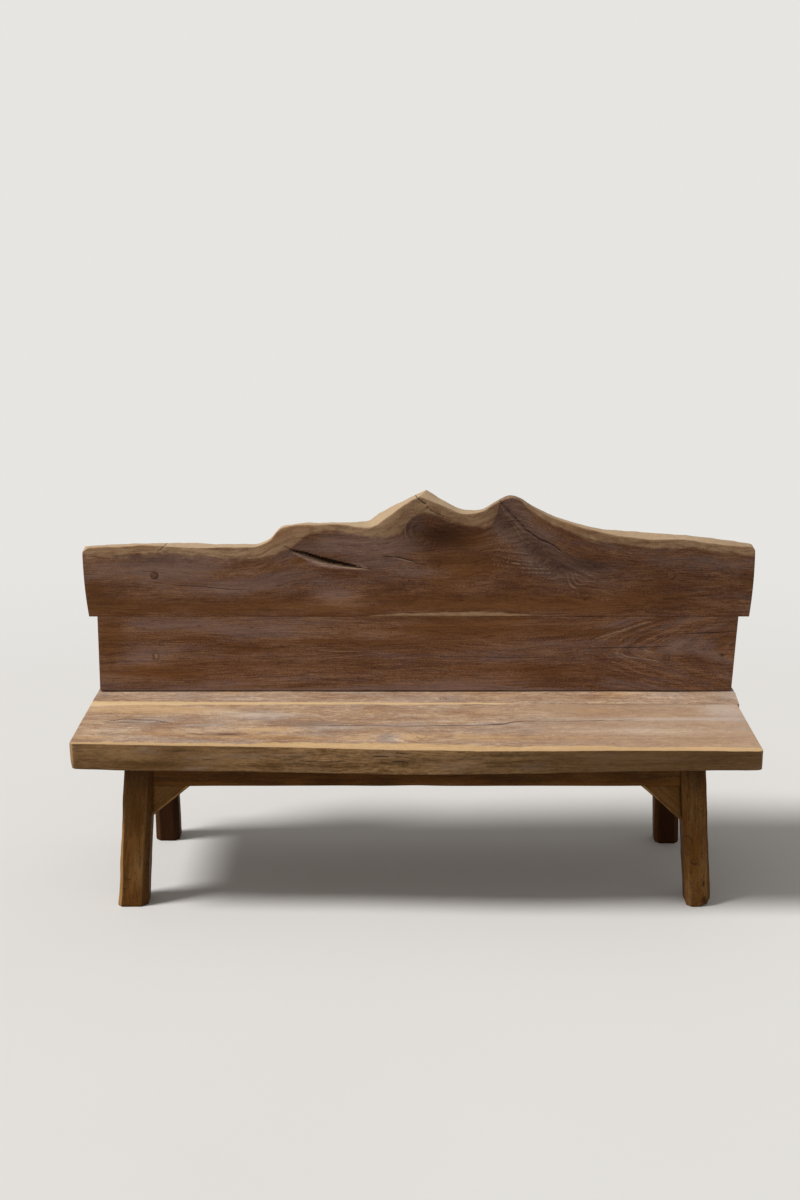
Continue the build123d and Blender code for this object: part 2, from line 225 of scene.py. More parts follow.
def curve(points):
    """Smooth curve through points, as a function of the first number."""
    at, height = np.array(points, float).T
    slope = np.gradient(height, at)

    def value(x):
        x = np.clip(x, at[0], at[-1])
        i = np.clip(np.searchsorted(at, x, side="right") - 1, 0, len(at) - 2)
        step = at[i + 1] - at[i]
        t = (x - at[i]) / step
        rise = (1 + 2 * t) * (1 - t) ** 2 * height[i] + t * t * (3 - 2 * t) * height[i + 1]
        return rise + step * (t * (1 - t) ** 2 * slope[i] - t * t * (1 - t) * slope[i + 1])

    return value


# Meshes

def spread(length, step, edge):
    """Places along a length: even steps, with closer ones where an edge is rounded."""
    near = edge * (1 - np.tan(np.radians([45.0, 32.0, 18.0])))
    count = max(2, round((length - 2 * edge) / step) + 1)
    return np.concatenate([near, np.linspace(edge, length - edge, count), length - near[::-1]])


def lattice(us, vs, ws):
    """Surface points of a lattice box, and its four-sided faces."""
    shape = (len(us), len(vs), len(ws))
    shell = np.zeros(shape, bool)
    shell[[0, -1]] = True
    shell[:, [0, -1]] = True
    shell[:, :, [0, -1]] = True
    index = np.full(shape, -1)
    index[shell] = np.arange(shell.sum())
    i, j, k = np.nonzero(shell)
    quads = []
    for axis in range(3):
        for end in (0, -1):
            side = np.take(index, end, axis)
            corners = [side[:-1, :-1], side[1:, :-1], side[1:, 1:], side[:-1, 1:]]
            quad = np.stack(corners, -1).reshape(-1, 4)
            flip = (end == 0) != (axis == 1)
            quads.append(quad[:, ::-1] if flip else quad)
    return us[i], vs[j], ws[k], np.concatenate(quads)


# Sharp steps in a board's length: room that other points leave, and half the width of a step
cut_room = 1.5
cut_half = 0.05


def board(size, steps, edges, radius_at, cuts=()):
    """Box with rounded edges: places on it from one corner, and its faces. Cuts are sharp steps along it."""
    us, vs, ws = (spread(*side) for side in zip(size, steps, edges))
    us = [u for u in us if all(abs(u - cut) > cut_room for cut in cuts)]
    us = np.sort(us + [cut + off for cut in cuts for off in (-cut_half, cut_half)])
    a, b, c, faces = lattice(us, vs, ws)
    points = np.stack([a, b, c], -1)
    radius = np.broadcast_to(radius_at(b / size[1]), a.shape)[:, None]
    inner = np.clip(points, radius, np.array(size) - radius)
    away = points - inner
    length = np.linalg.norm(away, axis=1, keepdims=True)
    points = np.where(length > 0, inner + away * radius / np.maximum(length, 1e-9), points)
    return *points.T, faces


def skin(rings):
    """Closed skin over rings of points, with a cap of shrinking rings at both ends."""
    around = rings.shape[1]
    middles = [rings[end].mean(0) for end in (0, -1)]
    first, last = ([middle + (rings[end] - middle) * share for share in (0.8, 0.55, 0.3)]
                   for end, middle in zip((0, -1), middles))
    layers = first[::-1] + list(rings) + last
    points = np.concatenate([middles[:1]] + layers + [middles[1:]])
    tip = len(points) - 1
    sides = [(i, (i + 1) % around) for i in range(around)]
    faces = []
    for low in range(1, tip - around, around):
        faces += [(low + i, low + j, low + around + j, low + around + i) for i, j in sides]
    for i, j in sides:
        faces += [(0, 1 + j, 1 + i), (tip, tip - around + i, tip - around + j)]
    return points, faces


def look_inwards(points, faces):
    """Whether the faces of a closed mesh look inwards, from the sign of its volume."""
    quads = np.array([(*face, face[-1])[:4] for face in faces])
    a, b, c, d = np.moveaxis(points[quads] - points.mean(0), 1, 0)
    return np.sum(a * (np.cross(b, c) + np.cross(c, d))) < 0


def put(name, data):
    """Object with its data, in the scene."""
    piece = bpy.data.objects.new(name, data)
    bpy.context.scene.collection.objects.link(piece)
    return piece


def make(name, points, faces, fields, slot, *nodes):
    """Mesh piece with its wood fields, standing for CAD nodes."""
    points = points * MM + np.array([middle_x, back_y, 0.0])
    turn = -1 if look_inwards(points, faces) else 1
    mesh = bpy.data.meshes.new(name)
    mesh.from_pydata(points.tolist(), [], [tuple(map(int, face))[::turn] for face in faces])
    mesh.shade_smooth()
    for field, values in fields.items():
        attribute = mesh.attributes.new(field, "FLOAT_VECTOR", "POINT")
        attribute.data.foreach_set("vector", values.astype(np.float32).reshape(-1))
    mesh.materials.append(woods[slot])
    mesh.validate()
    piece = put(name, mesh)
    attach(piece, "root")
    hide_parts(*nodes)


# Wood fields: the grain's run in metres, then tones and marks, three to a vector on the mesh
field_parts = {
    "tone": ("sap", "grey", "dark"),
    "mark": ("crack", "crack_near", "pale"),
    "side": ("bark", "light", "ring"),
    "rest": ("calm", "soil", "figure"),
    "strand": ("strand", "strand_pale", "strand_dark"),
}
# Distance from a crack, in half-widths, beyond which it no longer counts
far_off = 8.0


def wood_fields(along, across, into, crack=(far_off, 0.0), strand=(far_off, 0.0, 0.0), ring=None, **tones):
    """Fields of a piece from its run along, across and into the grain, its cracks, fibres and tones."""
    values = dict(tones, crack=crack[0], crack_near=crack[1], ring=(across if ring is None else ring) * MM)
    values.update(zip(field_parts["strand"], strand))
    groups = {"grain": [along * MM, across * MM, into * MM]}
    for group, names in field_parts.items():
        groups[group] = [values.get(name, 0.0) for name in names]
    zero = np.zeros(np.shape(along))
    return {group: np.stack([zero + part for part in parts], -1) for group, parts in groups.items()}


def crack_field(x, y, lines, rings=()):
    """Signed distance to the nearest crack in half-widths, and how near it is."""
    best = np.full(x.shape, far_off)
    for points, half_width in lines:
        for number, ((x0, y0), (x1, y1)) in enumerate(zip(points, points[1:])):
            dx, dy = x1 - x0, y1 - y0
            t = np.clip(((x - x0) * dx + (y - y0) * dy) / (dx * dx + dy * dy), 0, 1)
            distance = np.hypot(x - x0 - t * dx, y - y0 - t * dy)
            side = np.where(dx * (y - y0) - dy * (x - x0) < 0, -1.0, 1.0)
            share = (number + t) / (len(points) - 1)
            width = half_width * (0.15 + 0.85 * np.sqrt(np.sin(np.pi * np.clip(share, 0, 1)).clip(0)))
            value = np.clip(distance / width, 0, far_off)
            best = np.where(value < np.abs(best), side * value, best)
    for place, radius, half_width in rings:
        value = (np.hypot(x - place[0], y - place[1]) - radius) / half_width
        value = np.clip(value, -far_off, far_off)
        best = np.where(np.abs(value) < np.abs(best), value, best)
    return best, np.exp(-((best / 5) ** 2))


def strand_field(x, y, pale_lines, dark_lines, where):
    """Signed distance to the nearest single fibre, and how near a pale or a dark one is."""
    pale, pale_near = crack_field(x, y, pale_lines)
    dark, dark_near = crack_field(x, y, dark_lines)
    nearer = np.abs(pale) < np.abs(dark)
    return np.where(nearer, pale, dark), pale_near * nearer * where, dark_near * ~nearer * where


def hook(x, height, curl, length, rise):
    """Fibre that comes in level from one side and curls up at its end."""
    side = math.copysign(1.0, length)
    turn = np.radians([0, 25, 50, 70, 90])
    bend = [(x + side * 0.6 * curl * (1 - math.cos(a)), height + curl * (1 - math.sin(a))) for a in turn]
    return bend + [(bend[-1][0] + length / 2, height + 0.3 * rise), (bend[-1][0] + length, height + rise)]


def arc(place, radius, start, end):
    """Unsteady fibre that runs round a place, from one angle to another."""
    turn = np.radians(np.linspace(start, end, 8))
    reach = radius + 2.5 * noise(3 * turn, radius, seed=6)
    return [(place[0] + r * math.cos(a), place[1] + r * math.sin(a)) for r, a in zip(reach, turn)]


def turned(x, y, place, reach, angle):
    """Turn points about a place, less and less further from it."""
    dx, dy = x - place[0], y - place[1]
    turn = angle * np.exp(-(dx * dx + dy * dy) / reach ** 2)
    return place[0] + dx * np.cos(turn) - dy * np.sin(turn), place[1] + dx * np.sin(turn) + dy * np.cos(turn)


def round_knot(x, y, place, radius):
    """Grain that parts round a knot."""
    near = spots(x, y, [(*place, 7 * radius, 2.6 * radius, 0.85)])
    return y - (y - place[1]) * near


# Back boards

def on_back(x, up, behind):
    """Points of the back from their place along it, up its face and into it."""
    y = up * math.sin(lean) + behind * math.cos(lean)
    z = seat_height + up * math.cos(lean) - behind * math.sin(lean)
    return np.stack([x, y, z], -1)


def crest_heights(column, apex):
    """Height of the crest's front (1) or rear (2) edge along the slab, with straight cuts at the ears."""
    left_ear, right_ear = ear_rises[column]
    left = [(point[0], point[column]) for point in crest_left] + [apex]
    right = [apex] + [(point[0], point[column]) for point in crest_right]
    left_curve = curve(left)
    right_curve = curve(right)

    def height(share):
        rise = np.where(share < apex[0], left_curve(share), right_curve(share))
        rise = np.where(share < left[0][0], lerp(left_ear, left[0][1], share / left[0][0]), rise)
        tail = (share - right[-1][0]) / (1.0 - right[-1][0])
        rise = np.where(share > right[-1][0], lerp(right[-1][1], right_ear, tail), rise)
        return shoulder_height + rise

    return height


front_crest = crest_heights(1, apex_front)
rear_crest = crest_heights(2, apex_rear)


def crest(share, depth_share):
    """Height of the crest, with the apex running across it at an angle."""
    skew = (apex_rear[0] - apex_front[0]) * np.clip(1 - np.abs(share - apex_front[0]) / apex_run, 0, 1)
    front = front_crest(share - skew * depth_share)
    rear = rear_crest(share + skew * (1 - depth_share))
    return lerp(front, rear, depth_share)


def on_front(behind):
    """1 on the front face of a back board, 0 from a little way into it."""
    return smooth(8, 3, behind)


def planed(behind, wave):
    """Depth into a back board, with slight waves on its front and rear faces."""
    return behind + 0.5 * wave * (on_front(behind) + on_front(back_thickness - behind))


# Marks of the upper slab, along the back and up its face. Grey spots below zero are golden.
sap_line = [
    (-845, 352), (-768, 353), (-715, 356), (-657, 359), (-505, 350), (-417, 343), (-382, 344),
    (-359, 350), (-331, 362), (-313, 372), (-300, 383), (-275, 400), (-260, 409), (-227, 413),
    (-177, 410), (-156, 405), (-116, 398), (-75, 399), (-47, 407), (-32, 414), (-24, 430), (-14, 441),
    (-2, 448), (17, 456), (31, 457), (47, 455), (62, 450), (84, 439), (106, 434), (124, 429), (155, 424),
    (180, 422), (198, 436), (208, 462), (216, 500), (262, 504), (274, 483), (299, 461), (324, 442),
    (349, 430), (386, 414), (424, 398), (474, 386), (522, 380), (601, 371), (707, 369), (770, 360),
    (860, 354),
]
upper_cracks = [
    ([(-8, 508), (4, 498), (17, 487), (29, 480)], 1.0),
    ([(30, 474), (44, 463), (57, 457), (75, 450)], 0.8),
    ([(206, 500), (219, 483), (244, 456), (267, 431), (278, 421)], 0.6),
    ([(272, 426), (280, 416), (298, 404), (316, 391), (330, 386), (346, 379), (357, 372),
      (371, 361)], 1.1), ([(-84, 352), (-62, 347), (-40, 346), (-18, 340), (-4, 339)], 1.1),
    ([(-30, 342), (10, 330), (34, 326)], 0.8), ([(-652, 360), (-640, 368), (-631, 378)], 0.9),
    ([(-335, 377), (-322, 371), (-306, 366)], 0.8),
    ([(-616, 275), (-549, 272), (-471, 264), (-399, 262)], 0.7),
    ([(-128, 318), (-118, 317), (-106, 315)], 0.9),
]
upper_grey = [
    (-640, 312, 180, 34, 1.1), (-444, 268, 110, 22, 0.9), (236, 432, 36, 36, 2.2),
    (298, 352, 34, 22, 1.8), (-150, 378, 150, 28, 1.5), (30, 308, 60, 16, 1.5), (300, 405, 60, 40, 1.2),
    (-90, 330, 120, 18, 0.9), (650, 330, 180, 26, 0.5), (-190, 250, 64, 28, 1.2), (400, 322, 90, 22, 1.0),
    (192, 470, 30, 40, 1.0), (-300, 300, 120, 18, 0.4), (-800, 300, 40, 24, 0.5), (-4, 428, 26, 20, 1.3),
    (-60, 372, 60, 14, 0.8), (-470, 214, 260, 15, -1.0), (-785, 216, 60, 22, -1.4),
    (60, 225, 330, 24, -1.1), (-293, 337, 16, 6, -2.0), (440, 226, 240, 18, -1.1),
    (-812, 252, 26, 30, -0.8), (130, 320, 110, 30, -1.5), (340, 440, 50, 14, -1.0),
    (-360, 318, 30, 10, -0.9), (-371, 257, 30, 8, -0.8), (620, 270, 180, 16, -0.5),
    (110, 395, 70, 30, -1.0),
]
upper_dark = [
    (60, 405, 80, 30, 0.42), (110, 345, 150, 26, 0.26), (640, 285, 200, 50, 0.14),
    (430, 325, 50, 18, 0.45), (432, 240, 7, 5, 1.0), (-230, 398, 60, 12, 0.25), (50, 336, 40, 8, 0.4),
    (232, 436, 30, 26, 0.25),
]
upper_light = [
    (-190, 246, 66, 28, 1.0), (-620, 312, 190, 34, 0.7), (-110, 380, 100, 22, 0.4),
    (60, 222, 400, 12, 0.5), (-250, 220, 120, 10, 0.6), (-444, 266, 120, 16, 0.6),
    (-780, 320, 60, 30, 0.5), (-270, 330, 50, 8, 0.9), (-640, 364, 220, 9, 0.35), (30, 474, 90, 22, -0.5),
]
upper_soil = [
    (650, 300, 210, 70, 0.45), (62, 402, 90, 42, 0.95), (200, 470, 30, 40, 0.42), (430, 325, 60, 20, 0.3),
    (235, 430, 40, 34, 0.2), (420, 340, 120, 26, 0.2), (-6, 428, 26, 20, 0.35), (560, 385, 120, 14, 0.25),
    (-330, 390, 60, 30, 0.12), (420, 410, 70, 20, 0.2),
]
upper_eyes = [
    (345, 356, 110, 34, -22.0, -0.85), (432, 240, 46, 14, 12.0), (-430, 300, 170, 30, 12.0),
    (39, 306, 70, 18, 10.0, -0.1), (-640, 262, 200, 22, 9.0, 0.05),
]
upper_figure = [(40, 400, 100, 50, 0.55), (330, 365, 170, 75, 0.6, -0.6)]
upper_hairs = [(390, 322, 105, 34, 0.45, -0.4), (250, 440, 60, 50, 0.3)]
upper_mauve = [(300, 378, 120, 30, 1.0, -0.85)]
upper_knot = ((432, 240), 6.0)
whorl_place = (17.0, 414.0)
whorl_reach = 46.0
# Hooked fibres of the knoll: place, height, curl, length and rise
knoll_hooks = [
    (290, 356, 5, -85, 12), (310, 334, 8, -120, 24), (327, 325, 9, -130, 18), (341, 316, 10, -140, 12),
    (353, 306, 14, -80, 3), (364, 292, 19, -14, 0), (385, 268, 38, 5, 0), (397, 277, 32, 18, 0),
    (405, 285, 32, 34, -1), (429, 311, 10, -8, 2), (436, 300, 9, 16, -1), (503, 286, 8, -32, -2),
]
upper_pale = [(hook(*sizes), 0.9) for sizes in knoll_hooks] + [
    ([(226, 462), (248, 440), (268, 417), (278, 410)], 1.8), ([(212, 482), (222, 468), (229, 450)], 1.2),
    ([(246, 430), (268, 396), (297, 375)], 1.2), ([(-63, 346), (-38, 342), (-12, 335), (3, 332)], 1.2),
    ([(-139, 326), (-129, 322), (-111, 315)], 1.2), (arc(whorl_place, 43, 130, 220), 1.0),
    (arc(whorl_place, 28, 125, 215), 0.8), ([(8, 384), (22, 398)], 0.8), ([(21, 377), (34, 391)], 0.8),
    ([(32, 380), (42, 391)], 0.7), ([(46, 373), (50, 386)], 0.8),
]
upper_drawn = [(hook(x - 4, up - 5, *sizes), 1.1) for x, up, *sizes in knoll_hooks[:8]] + [
    (arc(whorl_place, 35, 120, 230), 1.2), (arc(whorl_place, 20, 60, 200), 0.9),
    ([(34, 416), (46, 420), (61, 419), (79, 414)], 1.6), ([(44, 410), (56, 412), (72, 410), (89, 404)], 1.2),
    ([(49, 430), (72, 427), (89, 418), (110, 410)], 1.2), ([(117, 402), (140, 392), (160, 384)], 1.2),
    ([(89, 432), (104, 424), (135, 415), (158, 405)], 1.4), ([(84, 398), (110, 391), (135, 384)], 1.0),
    ([(437, 333), (457, 323), (485, 320)], 1.2),
]
seam_streak = [
    (-141, 0), (-104, 4), (-43, 8), (38, 10.5), (160, 13.5), (213, 13), (266, 8), (323, 5), (440, 1.5),
    (520, 0),
]


def split_marks(x, height, front):
    """Open split: how deep it is, its mouth painted dark as shade in the recess, and its lip and pale lower
    edge, lighter partly from wear and pale wood and partly as painted highlight where the lip faces up.
    """
    upper = curve(split_upper)(x)
    lower = np.minimum(curve(split_lower)(x), upper - 0.4)
    lip = np.minimum(curve(split_lip)(x), lower - 0.6)
    within = smooth(-322, -300, x) * smooth(-108, -125, x)
    mouth = smooth(lower + 0.2, lower + 2.2, height) * smooth(upper - 0.3, upper - 2.3, height)
    slope = smooth(lip, lower, height) * smooth(upper + 0.3, upper - 1.7, height)
    depth = within * front * np.maximum(mouth * split_depth, slope * split_lip_depth)
    wear_and_highlight = within * smooth(lip - 5, lip + 3, height) * smooth(lower + 1, lower - 3, height)
    edge = within * smooth(lower - 6, lower - 2, height) * smooth(upper, lower, height)
    return depth, within * mouth * front, wear_and_highlight, edge


def upper_grain(x, height, share, up):
    """Grain that follows the crest, growth lines that close into eyes, and how clearly they show."""
    steps = np.linspace(-0.02, 0.02, 7)
    lift = np.mean([front_crest(np.clip(share + step, 0.01, 0.99)) for step in steps], 0) - shoulder_height
    up = np.clip(up, 0, 1)
    grain = round_knot(x, height - lift * up ** 1.6, *upper_knot)
    ring = height - lift * up ** 1.3 + spots(x, height, upper_eyes) + 3 * noise(x / 160, height / 45, seed=7)
    dx = x - whorl_place[0]
    whorl = np.hypot(dx / 1.3, height - whorl_place[1]) + 5 * noise(x / 20, height / 16, seed=8) + 0.12 * dx
    ring = lerp(ring, 328 + 0.9 * whorl, 0.6 * np.exp(-((whorl / whorl_reach) ** 2)))
    figure = np.clip(spots(x, height, upper_figure), 0, 1)
    return lerp(grain, ring, 0.9 * figure), ring, figure


def upper_streak(x, height):
    """Streak of sapwood along the seam between the back boards."""
    width = curve(seam_streak)(x)
    within = smooth(width + 1.0, width - 1.5, height - back_seam_height) * smooth(0.5, 4.0, width)
    return within * lerp(0.9, 0.4, smooth(200, 320, x))


def upper_fields(x, height, behind, share, up, front, crack, split):
    """Looks of the upper slab: sapwood below the crest and on it, with its top partly painted highlight,
    heartwood with its figure and stains, and the split's painted shade and highlight.
    """
    # The split's mouth is painted shade; its lip and lower edge are lighter partly as painted highlight.
    _, mouth, wear_and_highlight, split_edge = split
    edge = curve(sap_line)(x) + 3 * noise(x / 25, height / 40, seed=9)
    soft = smooth(-380, -480, x)
    ragged = 5 * soft * rough_noise(x / 14, height / 9, seed=10)
    # The crest's top (crown) is paler and lighter, partly as sapwood and partly as painted highlight where it
    # faces the light.
    crown = smooth(0.955, 0.985, up) * smooth(0.6, 2.6, behind)
    sap = np.maximum.reduce([
        smooth(-10 - 12 * soft, 11 + 5 * soft, height - edge + ragged), 0.6 * split_edge,
        upper_streak(x, height) * front, 0.75 * crown, 0.75 * smooth(0.975, 0.995, up),
    ])
    dark_edge = 0.3 * (1 - 0.8 * soft) * np.exp(-(((height - edge + 7) / 5) ** 2))
    mauve = spots(x, height, upper_mauve)
    dulled = 0.78 * np.exp(-(((x - 255) / 80) ** 2)) + 0.14 * smooth(300, 450, x) + 0.2 * smooth(680, 820, x)
    stain = np.clip(spots(x, height, upper_soil) + 0.62 * mauve, 0, 1)
    grain, ring, figure = upper_grain(x, height, share, up)
    return wood_fields(
        1.3 * x, grain, behind, crack, strand_field(x, height, upper_pale, upper_drawn, front), ring,
        sap=sap, grey=spots(x, height, upper_grey) + 1.2 * wear_and_highlight + 1.2 * mauve,
        dark=spots(x, height, upper_dark) + mouth + dark_edge,
        pale=np.maximum(spots(x, height, upper_hairs), 0.7 * wear_and_highlight),
        light=crown + spots(x, height, upper_light) * front + 0.8 * wear_and_highlight,
        calm=spots(x, height, [(60, 402, 90, 42, 0.35)]) - 0.25 * smooth(350, 500, x) - 0.5 * soft * sap,
        soil=stain * front * (1 - crown) + crown * dulled, figure=0.8 * figure * front,
    )


def back_upper_slab():
    nominal = shoulder_height - back_seam_height
    size = (slab_length, nominal, back_thickness)
    a, b, c, faces = board(size, (3.0, 2.2, 3.6), (2.5, 4.5, 4.5), lambda up: 0.3 + 2.2 * up ** 3)
    share, up, depth = a / slab_length, b / nominal, c / back_thickness
    foot = lerp(-slab_left_foot, slab_right_foot, share)
    x = lerp(foot, lerp(-slab_left_ear, slab_right_ear, share), up) * (1 + slab_end_bow * 4 * up * (1 - up))
    ripple = 1.2 * rough_noise(x / 30, c / 14, seed=3) * smooth(0.0, 0.02, share) * smooth(1.0, 0.98, share)
    height = lerp(back_seam_height, crest(share, depth) + ripple, up)
    front = on_front(c)
    split = split_marks(x, height, front)
    rings = [(place, peg_hole_radius, 0.5) for place in peg_places[:2]]
    crack = crack_field(x, height, upper_cracks, rings)
    cleft = crack_field(x, height, upper_cracks[:4])
    groove = 0.6 * np.exp(-((crack[0] / 1.6) ** 2)) * crack[1] + 3.0 * np.exp(-((cleft[0] / 1.1) ** 2))
    behind = planed(c + split[0] + groove * front, noise(x / 90, height / 60, depth * 2, seed=5))
    fields = upper_fields(x, height, behind, share, up, front, crack, split)
    make("upper_back_slab", on_back(x, height, behind), faces, fields, "back_wood", "back_upper_slab")


# Marks of the lower board
lower_cracks = [
    ([(421, 113), (540, 114), (655, 118)], 0.9), ([(682, 150), (760, 153), (824, 157)], 0.9),
    ([(64, 91), (230, 89), (408, 90)], 0.8),
]
lower_knot = ((783, 95), 6.0)
lower_pale = [
    ([(455, 136), (528, 159), (600, 183)], 1.4), ([(504, 104), (546, 90), (611, 81), (638, 70)], 1.2),
    ([(579, 116), (590, 106), (611, 100)], 1.2), ([(-250, 108), (-190, 104), (-130, 104)], 1.0),
]
lower_drawn = [
    ([(444, 143), (528, 166), (604, 191)], 1.2), ([(480, 129), (528, 152), (599, 175), (640, 190)], 1.3),
    ([(441, 99), (480, 84), (504, 84), (534, 70)], 1.5), ([(-480, 118), (-423, 115), (-340, 110)], 1.4),
]
lower_grey = [
    (-600, 172, 130, 14, 1.2), (-417, 157, 120, 14, 1.1), (-690, 95, 70, 26, 0.9),
    (-305, 182, 120, 9, 0.7), (80, 6, 260, 9, 1.0), (360, 124, 110, 14, 0.8), (590, 102, 100, 20, 0.9),
    (690, 120, 70, 26, 0.9), (520, 172, 90, 12, 0.6), (650, 30, 150, 20, 0.4), (-100, 88, 160, 10, 0.6),
    (-250, 120, 140, 8, 0.5), (-764, 172, 44, 18, -1.5), (150, 165, 330, 22, -1.3),
    (-778, 115, 34, 40, -1.7), (-640, 48, 150, 16, -1.0), (-557, 135, 60, 8, -1.0),
    (-425, 112, 90, 12, -1.2), (-330, 60, 240, 22, -0.6), (250, 60, 260, 14, -0.8),
    (-60, 128, 200, 14, -0.8), (480, 40, 220, 14, -0.5), (430, 150, 90, 12, -0.7),
]
lower_dark = [
    (783, 95, 7, 5, 1.0), (100, 78, 260, 6, 0.3), (-420, 116, 90, 8, 0.4), (-20, 112, 260, 7, 0.25),
    (250, 126, 120, 6, 0.25), (-560, 120, 120, 5, 0.2), (120, 40, 200, 5, 0.2),
]
lower_light = [
    (60, 7, 300, 9, 0.9), (-500, 165, 220, 14, 0.8), (591, 102, 30, 12, 0.9), (668, 122, 34, 16, 0.9),
    (342, 102, 30, 9, 0.7), (-690, 95, 60, 20, 0.4), (-100, 150, 160, 8, 0.5), (-360, 42, 260, 8, 0.5),
    (150, 175, 260, 6, 0.5), (-480, 60, 200, 6, 0.5), (200, 24, 300, 6, 0.5),
]
# Strip of greyer wood along the foot, and an arrow-shaped figure that opens to the right
foot_strip = [(-810, 6), (-500, 7), (-200, 9), (60, 15), (200, 14), (330, 8), (450, 4), (830, 3)]
arrow_start = 380.0
arrow_middle = (500.0, 103.0)
arrow_tilt = 0.03
arrow_depth = 140.0
arrow_slope = 0.36
arrow_tip = 10.0
arrow_bend = 60.0
arrow_band = 15.0


def lower_fields(x, height, behind, crack):
    """Looks of the lower board, with growth lines in an arrow-shaped figure."""
    front = on_front(behind)
    middle = arrow_middle[1] + arrow_tilt * (x - arrow_middle[0])
    past = np.hypot(np.clip(x - arrow_start, 0, None), arrow_bend) - arrow_bend
    ring = arrow_depth + np.hypot(height - middle, arrow_tip) - arrow_slope * past
    ring = ring + 5 * noise(x / 120, height / 40, seed=17)
    grain = round_knot(x, height + 5 * noise(x / 260, height / 50, seed=19), *lower_knot)
    figure = smooth(20, 120, past) * (0.7 + 0.5 * noise(x / 90, height / 30, seed=25)) * smooth(720, 600, x)
    bands = np.sin(ring / arrow_band * 2 * np.pi + 3 * noise(x / 70, height / 50, seed=23))
    light = spots(x, height, lower_light) + 0.45 * bands * figure + 0.3 * smooth(500, 200, x)
    foot_height = curve(foot_strip)(x)
    foot = smooth(foot_height + 1.5, foot_height - 1.5, height + 1.5 * noise(x / 60, 0.4, seed=27))
    foot_line = 0.5 * np.exp(-(((height - foot_height - 2) / 1.8) ** 2)) * smooth(300, -200, x)
    strand = strand_field(x, height, lower_pale, lower_drawn, front)
    return wood_fields(
        x, grain, behind + 70 + 0.5 * height, crack, strand, ring,
        grey=spots(x, height, lower_grey) + 0.15 + 1.5 * foot, dark=spots(x, height, lower_dark) + foot_line,
        light=light * front, calm=-0.15, figure=0.6 * np.clip(figure, 0, 1),
    )


def back_lower_board():
    length = lower_board_left_top + lower_board_right_top
    board_height = back_seam_height - seam_gap - back_seat_gap
    size = (length, board_height, back_thickness)
    a, b, c, faces = board(size, (4.0, 3.0, 5.0), (2.0, 2.0, 2.0), lambda up: 0.35)
    up = b / board_height
    left = lerp(-lower_board_left_foot, -lower_board_left_top, up)
    x = lerp(left, lerp(lower_board_right_foot, lower_board_right_top, up), a / length)
    bottom = (back_seat_gap + c * math.sin(lean)) / math.cos(lean)
    height = lerp(bottom, back_seam_height - seam_gap, up)
    rings = [(place, peg_hole_radius, 0.4) for place in peg_places[2:]]
    crack = crack_field(x, height, lower_cracks, rings)
    behind = planed(c, noise(x / 110, height / 60, c / back_thickness * 2, seed=15))
    fields = lower_fields(x, height, behind, crack)
    make("lower_back_board", on_back(x, height, behind), faces, fields, "back_wood", "back_lower_board")


# Seat boards: marks of the front slab's top, along and across it, then those of its front face
seat_cracks = [
    ([(-209, -262), (-120, -260), (-38, -264), (76, -260), (184, -255), (213, -249), (236, -236),
      (266, -228), (362, -230), (449, -223), (536, -218)], 2.3),
    ([(-757, -233), (-733, -224), (-711, -213), (-632, -224), (-585, -246)], 1.8),
    ([(-745, -238), (-684, -243), (-607, -241)], 1.6),
    ([(230, -91.2), (420, -93.8), (620, -96.5), (799, -99)], 2.6),
]
seat_grey = [
    (-670, -230, 80, 14, 1.6), (-387, -190, 130, 34, 1.3), (200, -250, 70, 9, 1.8),
    (600, -218, 230, 14, 1.3), (-40, -262, 200, 8, 0.9), (-256, -250, 80, 26, 1.0),
    (760, -150, 60, 50, 1.5), (-66, -350, 28, 28, 2.0), (60, -300, 120, 30, 0.4),
    (-506, -263, 80, 12, 1.1), (450, -300, 250, 40, 0.4), (-700, -140, 120, 34, -1.4),
    (-560, -150, 120, 26, -0.9), (-762, -352, 70, 14, -1.5), (-615, -324, 60, 14, -1.5),
    (-422, -345, 130, 10, -1.5), (-267, -352, 120, 10, -1.2), (-373, -294, 80, 12, -1.0),
    (-15, -350, 36, 24, -1.3), (140, -330, 90, 22, -0.9), (300, -350, 260, 22, -0.7),
    (430, -150, 250, 22, -0.5), (-150, -150, 160, 24, -0.6),
]
seat_dark = [
    (-445, -326, 38, 8, 1.0), (-535, -275, 46, 8, 0.6), (-670, -226, 60, 10, 0.5),
    (-250, -250, 90, 12, 0.35), (196, -252, 34, 9, 0.8), (-200, -264, 90, 7, 0.5),
    (-340, -262, 70, 8, 0.4), (-160, -190, 120, 6, 0.25), (-700, -236, 40, 5, 0.5),
    (40, -262, 120, 6, 0.4), (-420, -215, 60, 6, 0.3),
]
seat_light = [
    (-650, -140, 190, 30, 1.2), (-373, -294, 80, 10, 1.4), (640, -214, 220, 10, 0.7),
    (756, -140, 60, 50, 0.7), (-15, -348, 36, 22, 1.3), (-66, -350, 26, 26, -0.8),
    (-387, -185, 90, 20, 0.7), (-720, -300, 90, 14, 0.9), (-256, -245, 100, 20, -0.8),
    (-445, -330, 90, 10, -0.7), (-660, -262, 130, 14, -0.6), (-60, -215, 150, 12, -0.5),
    (560, -300, 240, 30, 0.5), (-120, -310, 120, 14, -0.5), (130, -280, 110, 12, -0.4),
]
swirl_place = (-17.0, -350.0)
swirl_drawn = [
    ([(-76, -333), (-57, -304), (-38, -297), (-21, -304), (-7, -322)], 2.6),
    ([(0, -340), (11, -361), (26, -347)], 3.0),
]
front_dark = [
    (-571, 415, 60, 3, 0.5), (-479, 396, 40, 3, 0.5), (-218, 396, 70, 3, 0.6), (-172, 410, 40, 3, 0.5),
    (-83, 411, 36, 3, 0.6), (-40, 400, 60, 6, 0.5), (120, 405, 70, 4, 0.4), (420, 410, 160, 4, 0.4),
    (-300, 420, 120, 3, 0.4),
]
